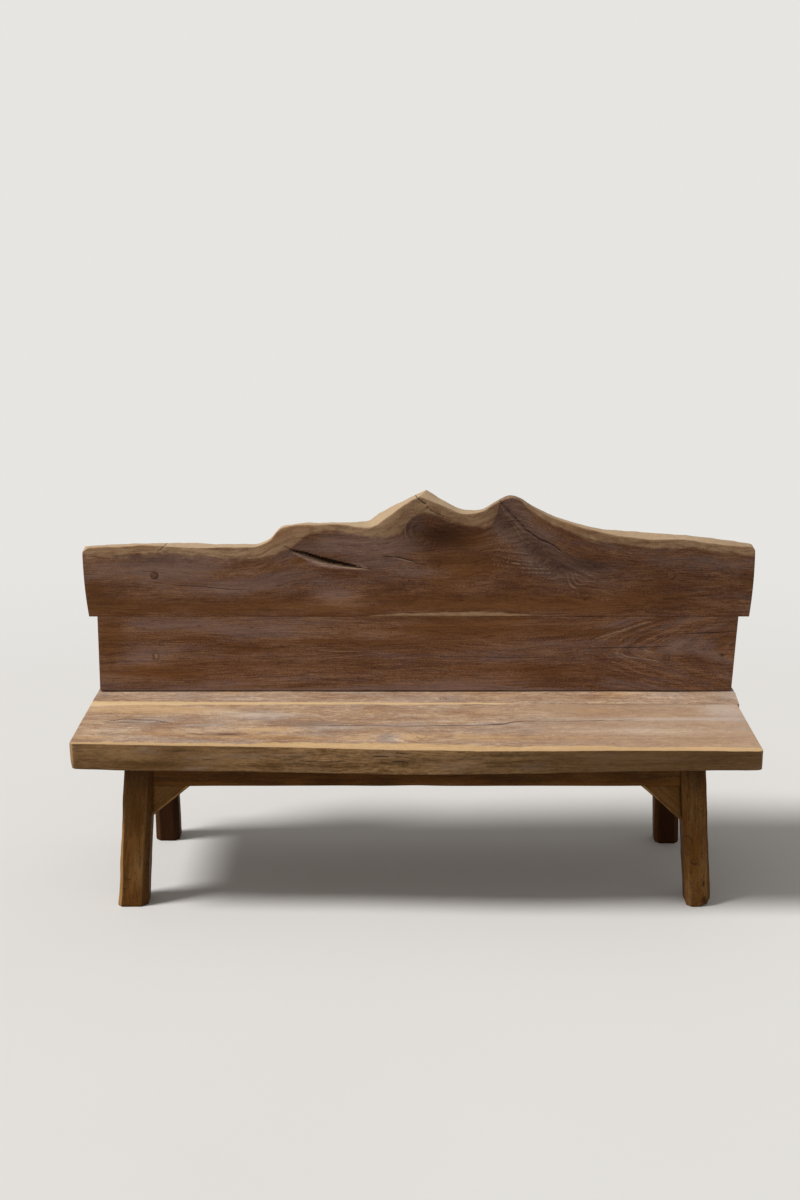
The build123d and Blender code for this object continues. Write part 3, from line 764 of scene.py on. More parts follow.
front_light = [
    (-430, 398, 90, 22, 0.8), (-700, 410, 80, 14, 0.8), (-250, 414, 60, 10, 0.8), (80, 408, 90, 14, 0.7),
    (-620, 384, 90, 9, -0.9), (-150, 384, 110, 8, -0.8), (-30, 402, 60, 9, -0.9),
    (260, 396, 120, 12, -0.4), (-330, 388, 60, 8, -0.6), (-180, 416, 80, 6, -0.5),
    (480, 410, 120, 12, 0.4), (700, 400, 80, 20, -0.3),
]
front_streaks = [
    ([(-104, 411), (-84, 412), (-62, 411)], 1.8), ([(-58, 398), (-34, 400), (-14, 398)], 1.9),
    ([(-52, 420), (-40, 421), (-24, 420)], 1.3), ([(-272, 397), (-220, 396), (-163, 398)], 1.1),
    ([(-190, 410), (-172, 411), (-150, 410)], 1.0), ([(-590, 416), (-560, 415), (-530, 417)], 0.8),
    ([(-500, 396), (-470, 397)], 0.9), ([(90, 409), (130, 408), (160, 410)], 0.8),
]
# Share of the front slab's length, then the face's lightness, its calm, and the sapwood's width on top
front_level = [(0.0, -0.45), (0.28, -0.4), (0.4, 0.1), (0.58, 0.1), (0.75, -0.2), (1.0, -0.3)]
front_calm = [(0.0, 0.3), (0.2, 0.3), (0.32, -0.35), (0.6, -0.35), (0.75, 0.3), (1.0, 0.3)]
front_band = [(0.0, 13), (0.15, 14), (0.3, 26), (0.45, 40), (0.6, 34), (0.8, 26), (1.0, 30)]
# Knot of the rear board
seat_knot = ((72, -57), 8.0)


def seam_place(x):
    share = (x + seat_left_end) / (seat_left_end + seat_right_end)
    return -lerp(seam_left_reach, seam_right_reach, share)


def round_corner(out_x, out_y):
    """Scale that rounds a square plan corner, from how far points pass its inner point."""
    inside = (out_x > 0) & (out_y > 0)
    length = np.hypot(out_x, out_y)
    return np.where(inside, np.maximum(out_x, out_y) / np.maximum(length, 1e-9), 1.0)


def front_slab_fields(x, y, z, share, on_top, on_face, crack):
    """Looks of the front slab: its top with sapwood along both edges, and its live front face."""
    facing = on_face > 0.5
    past_edge = y + seat_front_reach + curve(front_edge_top)(share)
    band = curve(front_band)(share) + 7 * noise(x / 48, 0.3, seed=35) + 3 * noise(x / 13, y / 20, seed=34)
    width = np.interp(x, [-800, -420, 300], [34, 22, 10]) + 4 * noise(x / 50, 0.7, seed=36)
    strip = smooth(width + 5, width - 4, seam_place(x) - y) * smooth(330, 200, x) * on_top
    bark = on_face * (1 - on_top)
    sap = np.maximum(smooth(band + 9, band - 6, past_edge) * on_top, 0.85 * strip) * (1 - bark)
    # Pale strip on the front face at the left end (corner): painted highlight where the rounded corner
    # catches the light, carried in the sapwood field.
    corner = on_face * smooth(seat_left_end - 14, seat_left_end - 4, -x)
    grain_x, grain_y = turned(x, y + 6 * noise(x / 300, y / 60, seed=37), swirl_place, 60, 0.9)
    top_light = (spots(x, y, seat_light) + 0.6 * strip) * on_top
    face_light = on_face * (curve(front_level)(share) + spots(x, z, front_light))
    return wood_fields(
        lerp(1.5 * grain_x, 1.8 * x, on_face), lerp(0.65 * grain_y, z, on_face), z, crack,
        strand_field(x, y, [], swirl_drawn, on_top),
        sap=np.maximum(sap, 0.7 * corner), bark=bark, grey=spots(x, y, seat_grey) * on_top,
        dark=spots(x, y, seat_dark) * on_top + on_face * spots(x, z, front_dark),
        light=np.where(facing, face_light, top_light),
        calm=np.where(facing, curve(front_calm)(share), 0.5 * smooth(100, 450, x) * on_top),
    )


def seat_front_slab():
    length = seat_left_end + seat_right_end
    width = seat_front_reach - (seam_left_reach + seam_right_reach) / 2
    size = (length, width, seat_thickness)
    a, b, c, faces = board(size, (4.2, 4.0, 4.4), (4.0, 4.0, 4.0), lambda out: 1.2 + 1.8 * out ** 2)
    past_front = b - (width - seat_corner_radius)
    for sign, past_end in ((-1, seat_corner_radius - a), (1, a - length + seat_corner_radius)):
        scale = round_corner(past_end, past_front)
        a = a - sign * past_end * (1 - scale)
        b = b - np.where(scale < 1, past_front * (1 - scale), 0.0)
    share, out, up = a / length, b / width, c / seat_thickness
    x = a - seat_left_end

    # The right end runs out at the seam and at its lower front corner, the left one draws in there
    near_front = smooth(0.8, 1.0, out)
    x = x + (lerp(5.0, 0.0, out) + 9.0 * (1 - up) * near_front) * smooth(760, 800, x)
    x = x + 4.5 * (1 - up) ** 2 * near_front * smooth(-770, -808, x)
    z = seat_underside + c
    edge = lerp(curve(front_edge_bottom)(share), curve(front_edge_top)(share), up)
    live = 1.6 * rough_noise(x / 70, z / 26, seed=31) * smooth(0.9, 1.0, out)
    y = lerp(seam_place(x), -seat_front_reach - edge - live, out)
    on_top = smooth(60.6, 61.9, c)
    on_face = smooth(0.975, 0.995, out)
    z = z + on_top * (0.7 * noise(x / 160, y / 70, seed=33) - 0.6)
    top, top_near = crack_field(x, y, seat_cracks)
    face, face_near = crack_field(x, z, front_streaks)
    facing = on_face > 0.5
    crack = (np.where(facing, face, top), np.where(facing, face_near * on_face, top_near * on_top))
    z = z - np.where(facing, 0.0, 1.2 * np.exp(-((top / 1.5) ** 2)) * crack[1])
    fields = front_slab_fields(x, y, z, share, on_top, on_face, crack)
    make("front_seat_slab", np.stack([x, y, z], -1), faces, fields, "seat_wood", "seat_front_slab")


def seat_rear_board():
    width = rear_board_rear_reach + seam_left_reach
    size = (rear_board_left_end + rear_board_right_end, width, seat_thickness)
    half_notch = post_width / 2 + notch_clearance
    notches = (rear_board_left_end - post_spread, rear_board_left_end + post_spread)
    cuts = [notch + end * half_notch for notch in notches for end in (-1, 1)]
    a, b, c, faces = board(size, (6.0, 5.0, 6.0), (2.0, 2.0, 2.0), lambda out: 1.3, cuts)
    out = b / width
    x = a - rear_board_left_end
    notched = np.abs(np.abs(x) - post_spread) < half_notch
    rear = np.where(notched, post_front - notch_clearance, rear_board_rear_reach)
    x = x + lerp(-3.0, 4.0, np.clip(2 * out, 0, 1)) * smooth(780, 812, x)
    y = lerp(seam_place(x) + seam_gap, rear, out)
    on_top = smooth(55, 60, c)
    z = seat_underside + c + on_top * (0.6 * noise(x / 160, y / 60, seed=43) - 0.5)
    place = seat_knot[0]
    crack, crack_near = crack_field(x, y, [], [(place, 9.0, 0.9)])
    grey = 0.4 - 0.4 * smooth(-100, 200, x) + 0.9 * smooth(500, 800, x)
    fields = wood_fields(
        1.5 * x, 0.65 * round_knot(x, y, *seat_knot) + 500, z, (crack, crack_near * on_top),
        grey=grey + 0.5 * noise(x / 240, y / 30, seed=45),
        dark=spots(x, y, [(*place, 9, 8, 0.5)]) * on_top, calm=-0.05,
    )
    make("rear_seat_board", np.stack([x, y, z], -1), faces, fields, "seat_wood", "seat_rear_board")


# Frame timbers

def polygon_ring(corners, counts):
    """Points round a polygon, with its corners softened."""
    points = []
    for start, end, count in zip(corners, np.roll(corners, -1, 0), counts):
        steps = np.arange(count) / count
        steps = lerp(steps, 0.5 - 0.5 * np.cos(np.pi * steps), 0.75)
        points += [lerp(start, end, step) for step in steps]
    ring = np.array(points)
    return 0.5 * ring + 0.25 * np.roll(ring, 1, 0) + 0.25 * np.roll(ring, -1, 0)


def section(width, depth, left, right, rear, counts):
    """Ring round a timber with its corners cut off, from the middle of its front face."""
    half = width / 2
    corners = np.array([
        (-half, left), (left - half, 0), (half - right, 0), (half, right),
        (half, depth - rear), (half - rear, depth), (rear - half, depth), (-half, depth - rear),
    ])
    return polygon_ring(corners, counts)


def shrunk(ring, share):
    return lerp(ring.mean(0), ring, share)


def outward(rings):
    """Directions from each ring's middle to its points."""
    away = rings - rings.mean(1, keepdims=True)
    return away / np.linalg.norm(away, axis=2, keepdims=True)


def hewn(rings, broad, fine, seed):
    """Waves left by the axe: amount and height of the broad and of the fine ones."""
    x, y, z = np.moveaxis(rings, 2, 0)
    waves = broad[0] * noise(x / 26, y / 26, z / broad[1], seed=seed)
    return waves + fine[0] * noise(x / 9, y / 9, z / fine[1], seed=seed + 1)


def dress(name, rings, fields_of):
    """Frame piece from its rings, with fields worked out at its points."""
    points, faces = skin(rings)
    make(name + "_hewn", points, faces, fields_of(*points.T), "frame_wood", name)


# Marks of the front legs, across and up their fronts: -1 is the left leg, 1 the right one
leg_marks = {
    -1: [([(-701, 80), (-694, 70), (-684, 68)], 0.7), ([(-707, 48), (-700, 44), (-692, 50)], 0.7)],
    1: [
        ([(644, 178), (652, 176), (658, 177)], 0.9),
        ([(650, 174), (660, 172), (664, 164), (660, 155)], 0.8),
        ([(647, 133), (654, 130), (660, 134)], 0.8),
        ([(658, 118), (663, 110), (673, 107), (682, 111)], 1.0), ([(676, 124), (679, 119)], 0.9),
        ([(654, 70), (661, 64), (664, 54)], 0.7), ([(694, 66), (693, 52)], 0.9),
    ],
}
leg_dark = {
    -1: [(-678, 330, 40, 34, 0.35), (-690, 66, 16, 12, 0.3), (-700, 160, 10, 30, 0.2)],
    1: [
        (662, 87, 4, 4, 1.0), (693, 58, 5, 6, 0.9), (664, 55, 12, 18, 0.35), (656, 150, 8, 22, 0.35),
        (672, 112, 12, 7, 0.4), (696, 16, 7, 12, 1.0), (656, 330, 40, 34, 0.35), (668, 258, 9, 60, 0.25),
    ],
}
# Lighter spots on the front legs; the right leg's broad first spot (668, 180) is painted light, lifting the
# shade that the seat casts on that leg.
leg_light = {
    -1: [(-676, 90, 16, 50, 0.8), (-690, 230, 12, 70, 0.4), (-668, 110, 10, 70, 0.6)],
    1: [
        (668, 180, 80, 300, 0.7), (646, 90, 7, 120, 0.6), (684, 130, 10, 70, 0.6), (688, 6, 6, 6, 1.0),
        (668, 70, 14, 26, 0.5),
    ],
}
# Corner broken off the right foot: its place, its reach and how far the wood is gone
bite_place = (704.0, -350.0, 0.0)
bite_reach = (15.0, 26.0, 19.0)
bite_shift = np.array([-11.0, 0.0, 5.0])


def at_leg(sizes, z):
    """Size of a front leg at a height, from its sizes at the top and at the foot."""
    return lerp(sizes[1], sizes[0], z / seat_underside)


def leg_ring(side, z):
    inner, outer = at_leg(leg_inner_cuts[side], z), at_leg(leg_outer_cuts, z)
    left, right = (inner, outer) if side > 0 else (outer, inner)
    ring = section(at_leg(leg_widths[side], z), at_leg(leg_depths, z), left, right, leg_rear_cut, leg_counts)
    ring = shrunk(ring, 1 - max(0.0, 2.0 - z) / 50)
    ring = ring + (side * at_leg(leg_spreads, z), -at_leg(leg_setbacks, z))
    return np.column_stack([ring, np.full(len(ring), z)])


def leg_fields(side, seed, x, y, z):
    """Looks of a front leg: arrises lighter partly from wear and partly as painted highlight, painted
    highlight and shade on its chamfers, painted shade under the seat, marks on its front.
    """
    facing = smooth(-318, -332, y)
    turn = (np.arange(len(x)) - 1) % sum(leg_counts)
    front_end = leg_counts[0] + leg_counts[1]
    arris = np.minimum(np.abs(turn - leg_counts[0]), np.abs(turn - front_end))
    # Arrises are lighter, partly from wear and partly as painted highlight.
    wear_and_highlight = np.exp(-((arris / 1.3) ** 2)) * (0.7 + 0.5 * noise(z / 26, 0.5 * side, seed=seed + 6))
    # The chamfer facing left (left_cut) is painted lighter as highlight, with a pale strip low on the left
    # leg, and the one facing right (right_cut) is painted darker as shade.
    left_cut = turn < leg_counts[0]
    right_cut = (turn > front_end) & (turn <= front_end + leg_counts[2])
    crack, crack_near = crack_field(x, z, leg_marks[side])
    # The darkening towards the top of the leg is painted shade under the seat.
    return wood_fields(
        z, x - side * at_leg(leg_spreads, z) + 200 * side, y, (crack, crack_near * facing),
        sap=0.6 * left_cut * smooth(250, 170, z) * (side < 0),
        grey=0.4 * noise(x / 40, z / 90, y / 40, seed=seed + 4) - 0.3,
        dark=spots(x, z, leg_dark[side]) * facing + 0.3 * smooth(seat_underside - 60, seat_underside, z),
        light=spots(x, z, leg_light[side]) * facing + wear_and_highlight + 0.7 * left_cut,
        soil=np.maximum(0.4 * right_cut, 0.32 * smooth(seat_underside - 110, seat_underside - 40, z)),
        calm=-0.2 - 0.2 * side,
    )


def front_leg(name, side):
    seed = 60 if side < 0 else 70
    heights = [0.0, 0.7, 2.0, *np.linspace(6, seat_underside - 3, 92), timber_top]
    rings = np.array([leg_ring(side, z) for z in heights])
    y, z = rings[..., 1], rings[..., 2]
    away = outward(rings)
    outer = np.clip(side * away[..., 0], 0, 1)
    waves = hewn(rings, (1.5, 48), (0.6, 22), seed)
    waves = waves + outer * (2.2 if side < 0 else 0.8) * noise(0.0, y / 60, z / 38, seed=seed + 2)
    waves = waves * smooth(seat_underside, 280, z) * smooth(-6, 10, z) - 0.6
    rings = rings + away * waves[..., None]
    if side > 0:
        reach = np.linalg.norm((rings - bite_place) / bite_reach, axis=2, keepdims=True)
        rings = rings + np.clip(1 - reach, 0, 1) ** 0.6 * bite_shift
    dress(name, rings, lambda *place: leg_fields(side, seed, *place))


def post_shift(side, z):
    """How far a rear post strays from its straight line, towards its foot."""
    stray = np.clip(1 - np.asarray(z) / seat_underside, 0, 1)
    return post_foot_shifts[side][0] * stray, post_foot_shifts[side][1] * stray


def post_place(share, depth, top_depth):
    """Y and Z in a post at a depth: from its foot (0) up to the seat, then leaning to its top (1)."""
    top = on_back(0.0, post_top_height, back_thickness + top_depth)
    bends = (0.0, 0.55, 1.0)
    y = np.interp(share, bends, (post_foot_setback + depth, post_front + depth, top[1]))
    return np.array([y, np.interp(share, bends, (0.0, seat_height, top[2]))])


def post_ring(side, share):
    front = post_place(share, 0.0, 0.0)
    rear = post_place(share, post_depth, post_top_depth)
    depth = math.hypot(*(rear - front))
    cut = lerp(post_hewn_cut, post_cut, smooth(200.0, 300.0, front[1]))
    ring = section(post_width, depth, cut, cut, cut, post_counts)
    ring = shrunk(ring, 1.0 if 0.005 < share < 0.994 else 0.96)
    return np.column_stack([side * post_spread + ring[:, 0], lerp(front, rear, ring[:, 1:] / depth)])


def rear_post(name, side):
    seed = 80 if side < 0 else 85
    shares = [0.0, 0.002, 0.006, *np.linspace(0.012, 0.99, 90), 0.996, 1.0]
    rings = np.array([post_ring(side, share) for share in shares])
    z = rings[..., 2]
    rings[..., :2] += np.stack(post_shift(side, z), -1)
    waves = hewn(rings, (1.2, 55), (0.4, 24), seed) - 0.3
    waves = waves * smooth(300, 260, z) * smooth(0, 10, z) - 0.3
    rings = rings + outward(rings) * waves[..., None]
    # Painted shade under the seat: below it the post is darkened, less on its left face where the light falls
    # (lit), and the right post's left face hardly at all (brighter).
    brighter = 0.16 if side < 0 else 0.8

    def fields(x, y, z):
        lit = smooth(-14, -27, x - side * post_spread - post_shift(side, z)[0])
        soil = smooth(seat_underside + 60, seat_underside - 60, z) * (0.88 - brighter * lit)
        grey = 0.4 * noise(x / 40, z / 90, y / 40, seed=seed + 4) - 0.5
        return wood_fields(z, x, y, grey=grey, soil=soil)

    dress(name, rings, fields)


def leg_inner_face(side, z):
    """Distance of a leg's inner face from the middle of the bench."""
    return at_leg(leg_spreads, z) - at_leg(leg_widths[side], z) / 2


def side_rail_ends(z):
    leg_rear = at_leg(leg_depths, z) - at_leg(leg_setbacks, z)
    return leg_rear - rail_sunk, lerp(post_foot_setback, post_front, z / seat_height) + rail_sunk


def rail(name, ends, middle, seed, order=(0, 1, 2)):
    """Rail between two ends, with a slightly hewn lower edge. The order puts its run along X or Y."""
    near, far = middle - rail_thickness / 2, middle + rail_thickness / 2
    corners = [(near, rail_bottom), (far, rail_bottom), (far, timber_top), (near, timber_top)]
    ring = polygon_ring(np.array(corners), (10, 20, 10, 20))
    low, high = np.array([ends(z) for z in ring[:, 1]]).T
    count = max(20, round((ends(0.0)[1] - ends(0.0)[0]) / 7))
    rings = np.array([np.column_stack([lerp(low, high, share), ring]) for share in np.linspace(0, 1, count)])
    along, across, z = np.moveaxis(rings, 2, 0)
    z += smooth(seat_underside - 30, rail_bottom, z) * 1.6 * noise(along / 90, across / 60, seed=seed)
    face = np.where(across < middle, -1.0, 1.0)
    across -= face * 0.5 * (1 + noise(along / 50, z / 24, seed=seed + 1))

    def fields(*place):
        along, across, z = (place[i] for i in order)
        # Painted shade: the rail is darker towards the seat underside and over all but its lower edge, which
        # is left lighter.
        light = 0.7 * smooth(rail_bottom + 14, rail_bottom + 4, z)
        return wood_fields(
            along, z, across, grey=0.4 * noise(along / 120, z / 20, seed=seed + 2) - 1.0,
            dark=0.2 * smooth(rail_bottom + 35, seat_underside, z),
            light=light + 1.2 * noise(along / 70, z / 22, seed=seed + 4),
            soil=0.32 * smooth(rail_bottom + 2, rail_bottom + 24, z), calm=-0.4,
        )

    dress(name, rings[..., order], fields)


def brace(name, side, face_at, front, width, height):
    """Triangular brace with softened edges and a bevel along its long front edge."""
    top_x, low_x = face_at(rail_bottom), face_at(rail_bottom - height)
    corners = np.array([(top_x - width, rail_bottom), (low_x, rail_bottom - height), (top_x, rail_bottom)])
    long_edge = math.hypot(width, height)
    slope = np.array([height, width]) / long_edge
    insets = [(0.0, 1.0), (0.6, 0.4), (1.5, 0.0), (brace_bevel, 0.0), (12.0, 0.0), (20.0, 0.0),
              (brace_thickness - 0.8, 0.2), (brace_thickness, 0.9)]
    rings = []
    for depth, inset in insets:
        reach = max(0.0, brace_bevel - depth) + inset
        moved = corners.copy()
        moved[0, 0] += reach * long_edge / height
        moved[1, 1] += reach * long_edge / width
        ring = polygon_ring(moved, brace_counts)
        wave = 0.7 * noise(ring[:, 0] / 18, ring[:, 1] / 18, depth / 20, seed=95 + side)
        wave[brace_counts[0]:] = 0
        ring = ring + wave[:, None] * slope
        rings.append(np.column_stack([side * ring[:, 0], np.full(len(ring), front + depth), ring[:, 1]]))

    def fields(x, y, z):
        along = (x * side * width - z * height) / long_edge
        across = (x * side * height + z * width) / long_edge
        bevel = smooth(brace_bevel + 1, 0, y - front) * smooth(9, 4, across - across.min())
        light = 0.8 + 0.6 * bevel
        return wood_fields(along, across + 90 * side, y, sap=0.9 * bevel, grey=-0.6, light=light, figure=-0.3)

    dress(name, np.array(rings), fields)


# Outline of a peg: depth behind the back's face, then share of its radius. Its end is a hair proud.
peg_outline = [
    (-0.5, 0.82), (-0.35, 0.94), (0.0, 0.99), (0.5, 1.0), (peg_length - 1, 1.0), (peg_length, 0.93),
]
# How dark and how light each peg is
peg_tones = [(0.3, 0.3), (0.2, 0.4), (-0.2, 1.0), (0.2, 0.3)]
chipped_peg = 2


def back_pegs():
    """Four round pegs with worn ends."""
    all_points, all_faces, fields = [], [], []
    angles = np.linspace(0, 2 * math.pi, 40, endpoint=False)
    for number, ((at, up), (dark, light)) in enumerate(zip(peg_places, peg_tones)):
        rings = []
        for behind, share in peg_outline:
            radius = peg_radius * share * (1 + 0.015 * np.sin(3 * angles + number))
            behind = np.full(len(angles), behind)
            rings.append(on_back(at + radius * np.cos(angles), up + radius * np.sin(angles), behind))
        points, faces = skin(np.array(rings))
        all_faces += [tuple(i + number * len(points) for i in face) for face in faces]
        all_points.append(points)
        x, y, z = points.T
        chip = spots(x, z, [(x[0] + 1.0, z[0] + 2.0, 6.0, 8.0, 0.5)]) * (number == chipped_peg)
        fields.append(wood_fields(y + 40 * number, z, x, sap=chip, grey=0.2, dark=dark, light=light))
    merged = {key: np.concatenate([field[key] for field in fields]) for key in fields[0]}
    make("back_pegs_worn", np.concatenate(all_points), all_faces, merged, "peg_wood", "back_pegs")


# Materials

def srgb(red, green, blue):
    """Colour from its 0 to 255 screen values."""
    values = [value / 255 for value in (red, green, blue)]
    linear = [value / 12.92 if value <= 0.04045 else ((value + 0.055) / 1.055) ** 2.4 for value in values]
    return (*linear, 1.0)


class Value:
    """What a node gives, with the usual signs for maths."""

    def __init__(self, tree, socket):
        self.tree = tree
        self.socket = socket

    def __add__(self, other):
        return self.tree.maths("ADD", self, other)

    def __sub__(self, other):
        return self.tree.maths("SUBTRACT", self, other)

    def __rsub__(self, other):
        return self.tree.maths("SUBTRACT", other, self)

    def __mul__(self, other):
        return self.tree.maths("MULTIPLY", self, other)

    def __abs__(self):
        return self.tree.maths("ABSOLUTE", self)


class Tree:
    """Short names for building the nodes of a material or world."""

    def __init__(self, owner):
        owner.use_nodes = True
        self.nodes = owner.node_tree.nodes
        self.links = owner.node_tree.links
        self.nodes.clear()

    def add(self, kind, values, out=0, **settings):
        """One of a node's outputs, from what goes into its inputs, and its settings."""
        node = self.nodes.new("ShaderNode" + kind)
        for key, setting in settings.items():
            setattr(node, key, setting)
        for key, value in values.items():
            if isinstance(value, Value):
                self.links.new(value.socket, node.inputs[key])
            else:
                node.inputs[key].default_value = value
        return Value(self, node.outputs[out])

    def end(self, kind, shader):
        output = self.nodes.new("ShaderNodeOutput" + kind)
        self.links.new(shader.socket, output.inputs[0])

    def field(self, name):
        return self.add("Attribute", {}, "Vector", attribute_name=name)

    def place(self):
        return self.add("NewGeometry", {}, "Position")

    def parts(self, vector):
        sockets = self.add("SeparateXYZ", {0: vector}).socket.node.outputs
        return [Value(self, socket) for socket in sockets]

    def join(self, x, y, z):
        return self.add("CombineXYZ", {0: x, 1: y, 2: z})

    def vector(self, operation, first, second):
        return self.add("VectorMath", {0: first, 1: second}, operation=operation)

    def maths(self, operation, *values):
        return self.add("Math", dict(enumerate(values)), operation=operation)

    def noise(self, vector, along, across, detail, roughness, shift=0.0):
        """Noise with its own scales along the grain and across it."""
        moved = self.vector("MULTIPLY", vector, (along, across, across))
        moved = self.vector("ADD", moved, (shift, shift * 0.7, shift * 1.3))
        return self.add("TexNoise", {"Vector": moved, "Scale": 1.0, "Detail": detail, "Roughness": roughness})

    def step(self, value, low, high, start=0.0, end=1.0):
        values = dict(enumerate((value, low, high, start, end)))
        return self.add("MapRange", values, interpolation_type="SMOOTHSTEP")

    def ramp(self, value, stops):
        colour = self.add("ValToRGB", {0: value})
        elements = colour.socket.node.color_ramp.elements
        while len(elements) < len(stops):
            elements.new(0.5)
        for element, (place, tint) in zip(elements, stops):
            element.position = place
            element.color = tint
        return colour

    def mix(self, share, first, second, blend="MIX"):
        return self.add("Mix", {0: share, 6: first, 7: second}, 2, data_type="RGBA", blend_type=blend)

    def seen(self):
        """1 on rays that show a thing to the camera: straight, mirrored or through glass."""
        rays = self.add("LightPath", {}).socket.node.outputs
        seen = Value(self, rays["Is Camera Ray"])
        for name in ("Is Glossy Ray", "Is Transmission Ray"):
            seen = self.maths("MAXIMUM", seen, Value(self, rays[name]))
        return seen

    def surface(self, colour, roughness, height, depth, specular):
        """Shader of a rough surface with fine bumps."""
        bump = self.add("Bump", {"Strength": 0.6, "Distance": depth, "Height": height})
        values = {"Base Color": colour, "Roughness": roughness, "Specular IOR Level": specular}
        return self.add("BsdfPrincipled", dict(values, Normal=bump))


# Noise layers of the wood: scales along and across, detail, roughness and shift.
# The first ones run with the fibres, the others with the growth lines.
fibre_layers = {
    "cloud": (30.0, 160.0, 4.0, 0.65, 5), "speck": (240.0, 560.0, 2.0, 0.6, 9),
    "fibre": (11.0, 430.0, 3.0, 0.65, 3), "pore": (70.0, 800.0, 2.0, 0.5, 23),
}
growth_layers = {
    "broad": (4.0, 24.0, 5.0, 0.6, 11), "streak": (4.0, 100.0, 5.0, 0.62, 7),
    "hue": (3.6, 20.0, 6.0, 0.66, 17), "ridge": (2.2, 64.0, 3.0, 0.5, 29),
    "hair": (22.0, 420.0, 2.0, 0.5, 31),
}


def wood_layers(t, grain, ring_step, shift):
    """Fields of a piece, and the layers of noise, pores, veins and growth lines that follow them."""
    w = SimpleNamespace()
    for group, names in field_parts.items():
        vars(w).update(zip(names, t.parts(t.field(group))))
    sway = t.noise(grain, 2.6, 11.0, 2.0, 0.5, shift)
    drift = (sway - 0.5) * 0.03
    along, _, into = t.parts(grain)
    across = w.ring + drift
    runs = [(fibre_layers, t.vector("ADD", grain, t.join(0.0, drift, drift))),
            (growth_layers, t.join(along, across, into + drift))]
    for layers, run in runs:
        for name, (*scales, layer_shift) in layers.items():
            setattr(w, name, t.noise(run, *scales, shift + layer_shift))
    w.pores = t.step(w.pore, 0.63, 0.72)
    w.vein = t.step(abs(w.ridge - 0.5), 0.016, 0.002) * t.step(w.cloud, 0.42, 0.6)
    wave = t.maths("SINE", across * (2 * math.pi / ring_step) + sway * 12.0 + w.streak * 7.0) * 0.5 + 0.5
    w.line = t.maths("POWER", wave, 3.0) * t.step(w.broad, 0.35, 0.65)
    w.lively = 1.0 - w.calm
    return w


def wood_tone(t, w, tint, weights, contrast):
    """Heartwood: its tone, then its lean towards gold or grey, then growth lines and veins."""
    broad, cloud, speck, fibre, streak = weights
    level = w.broad * broad + w.cloud * cloud + w.speck * speck + w.fibre * fibre + w.streak * streak
    level = t.step((level - 0.5) * w.lively + w.light * 0.07, -contrast, contrast)
    stops = zip((0.0, 0.4, 0.72, 1.0), (tint.dark, tint.mid, tint.light, tint.bright))
    base = t.ramp(level, list(stops))
    hue = ((w.hue - 0.5) * 4.5 + (w.cloud - 0.5) * 1.6 + (w.streak - 0.5) * 1.6) * w.lively - w.grey
    base = t.mix(t.step(hue, 0.0, 1.1) * 0.9, base, t.mix(level, tint.gold_dark, tint.gold))
    base = t.mix(t.step(hue, 0.0, -1.1) * 0.9, base, t.mix(level, tint.grey_dark, tint.grey))
    base = t.mix(w.line * (w.figure * 0.55 + 0.2), base, tint.line, "MULTIPLY")
    return t.mix(w.vein * w.lively * 0.55, base, tint.line, "MULTIPLY")


def wood_sides(t, w, tint, base):
    """Bark side and sapwood over the heartwood."""
    grained = w.cloud * 0.32 + w.fibre * 0.2 + w.streak * 0.3 + w.speck * 0.18
    grained = (grained - 0.5) * w.lively + w.light * 0.1
    bark = t.mix(t.step(grained, -0.14, 0.14), tint.bark_dark, tint.bark)
    bark = t.mix(t.step(w.hue, 0.5, 0.3) * 0.4, bark, tint.grey_dark)
    base = t.mix(w.bark, base, bark)
    sap = t.mix(t.step(grained, -0.15, 0.15), tint.sap_dark, tint.sap)
    sap = t.mix(t.step(w.hue, 0.48, 0.72) * 0.5, sap, tint.blush)
    sap = t.mix(t.step(w.light, 0.2, 1.0, 0.0, 0.72), sap, tint.rim)
    return t.mix(t.step((w.cloud - 0.5) * 0.9 + w.sap, 0.1, 0.9) * 0.9, base, sap)


def wood(name, colours, weights, ring_step, contrast, shift, by_place=False):
    """Solid wood from its fields: heartwood, bark side, sapwood, pores, single fibres, spots and cracks."""
    material = bpy.data.materials.new(name)
    t = Tree(material)
    tint = SimpleNamespace(**{key: srgb(*colour) for key, colour in colours.items()})
    w = wood_layers(t, t.place() if by_place else t.field("grain"), ring_step, shift)
    base = wood_sides(t, w, tint, wood_tone(t, w, tint, weights, contrast))
    base = t.mix(w.pores * 0.35, base, tint.dark, "MULTIPLY")
    base = t.mix(t.step(w.hair, 0.56, 0.66) * w.pale * 0.6, base, tint.hair)
    thread = t.step(abs(w.strand), 1.6, 0.3) * t.step(w.cloud, 0.2, 0.6)
    base = t.mix(thread * t.step(w.strand_pale, 0.3, 0.8, 0.0, 0.42), base, tint.hair)
    base = t.mix(thread * t.step(w.strand_dark, 0.3, 0.8, 0.0, 0.5), base, tint.spot)
    base = t.mix(t.step(w.cloud - 0.5 + w.dark, 0.1, 1.1) * 0.85, base, tint.spot)
    gap = t.step(abs(w.crack), 1.5, 0.4) * t.step(w.crack_near, 0.3, 0.8)
    base = t.mix(gap * 0.9, base, tint.gap)
    base = t.mix(w.soil, base, tint.soil, "MULTIPLY")
    height = w.fibre * 0.45 + w.cloud * 0.35 + w.speck * 0.2 - w.vein * 0.3 - w.pores * 0.35 - gap * 1.5
    t.end("Material", t.surface(base, w.cloud * 0.24 + 0.5, height, 0.001, 0.12))
    return material


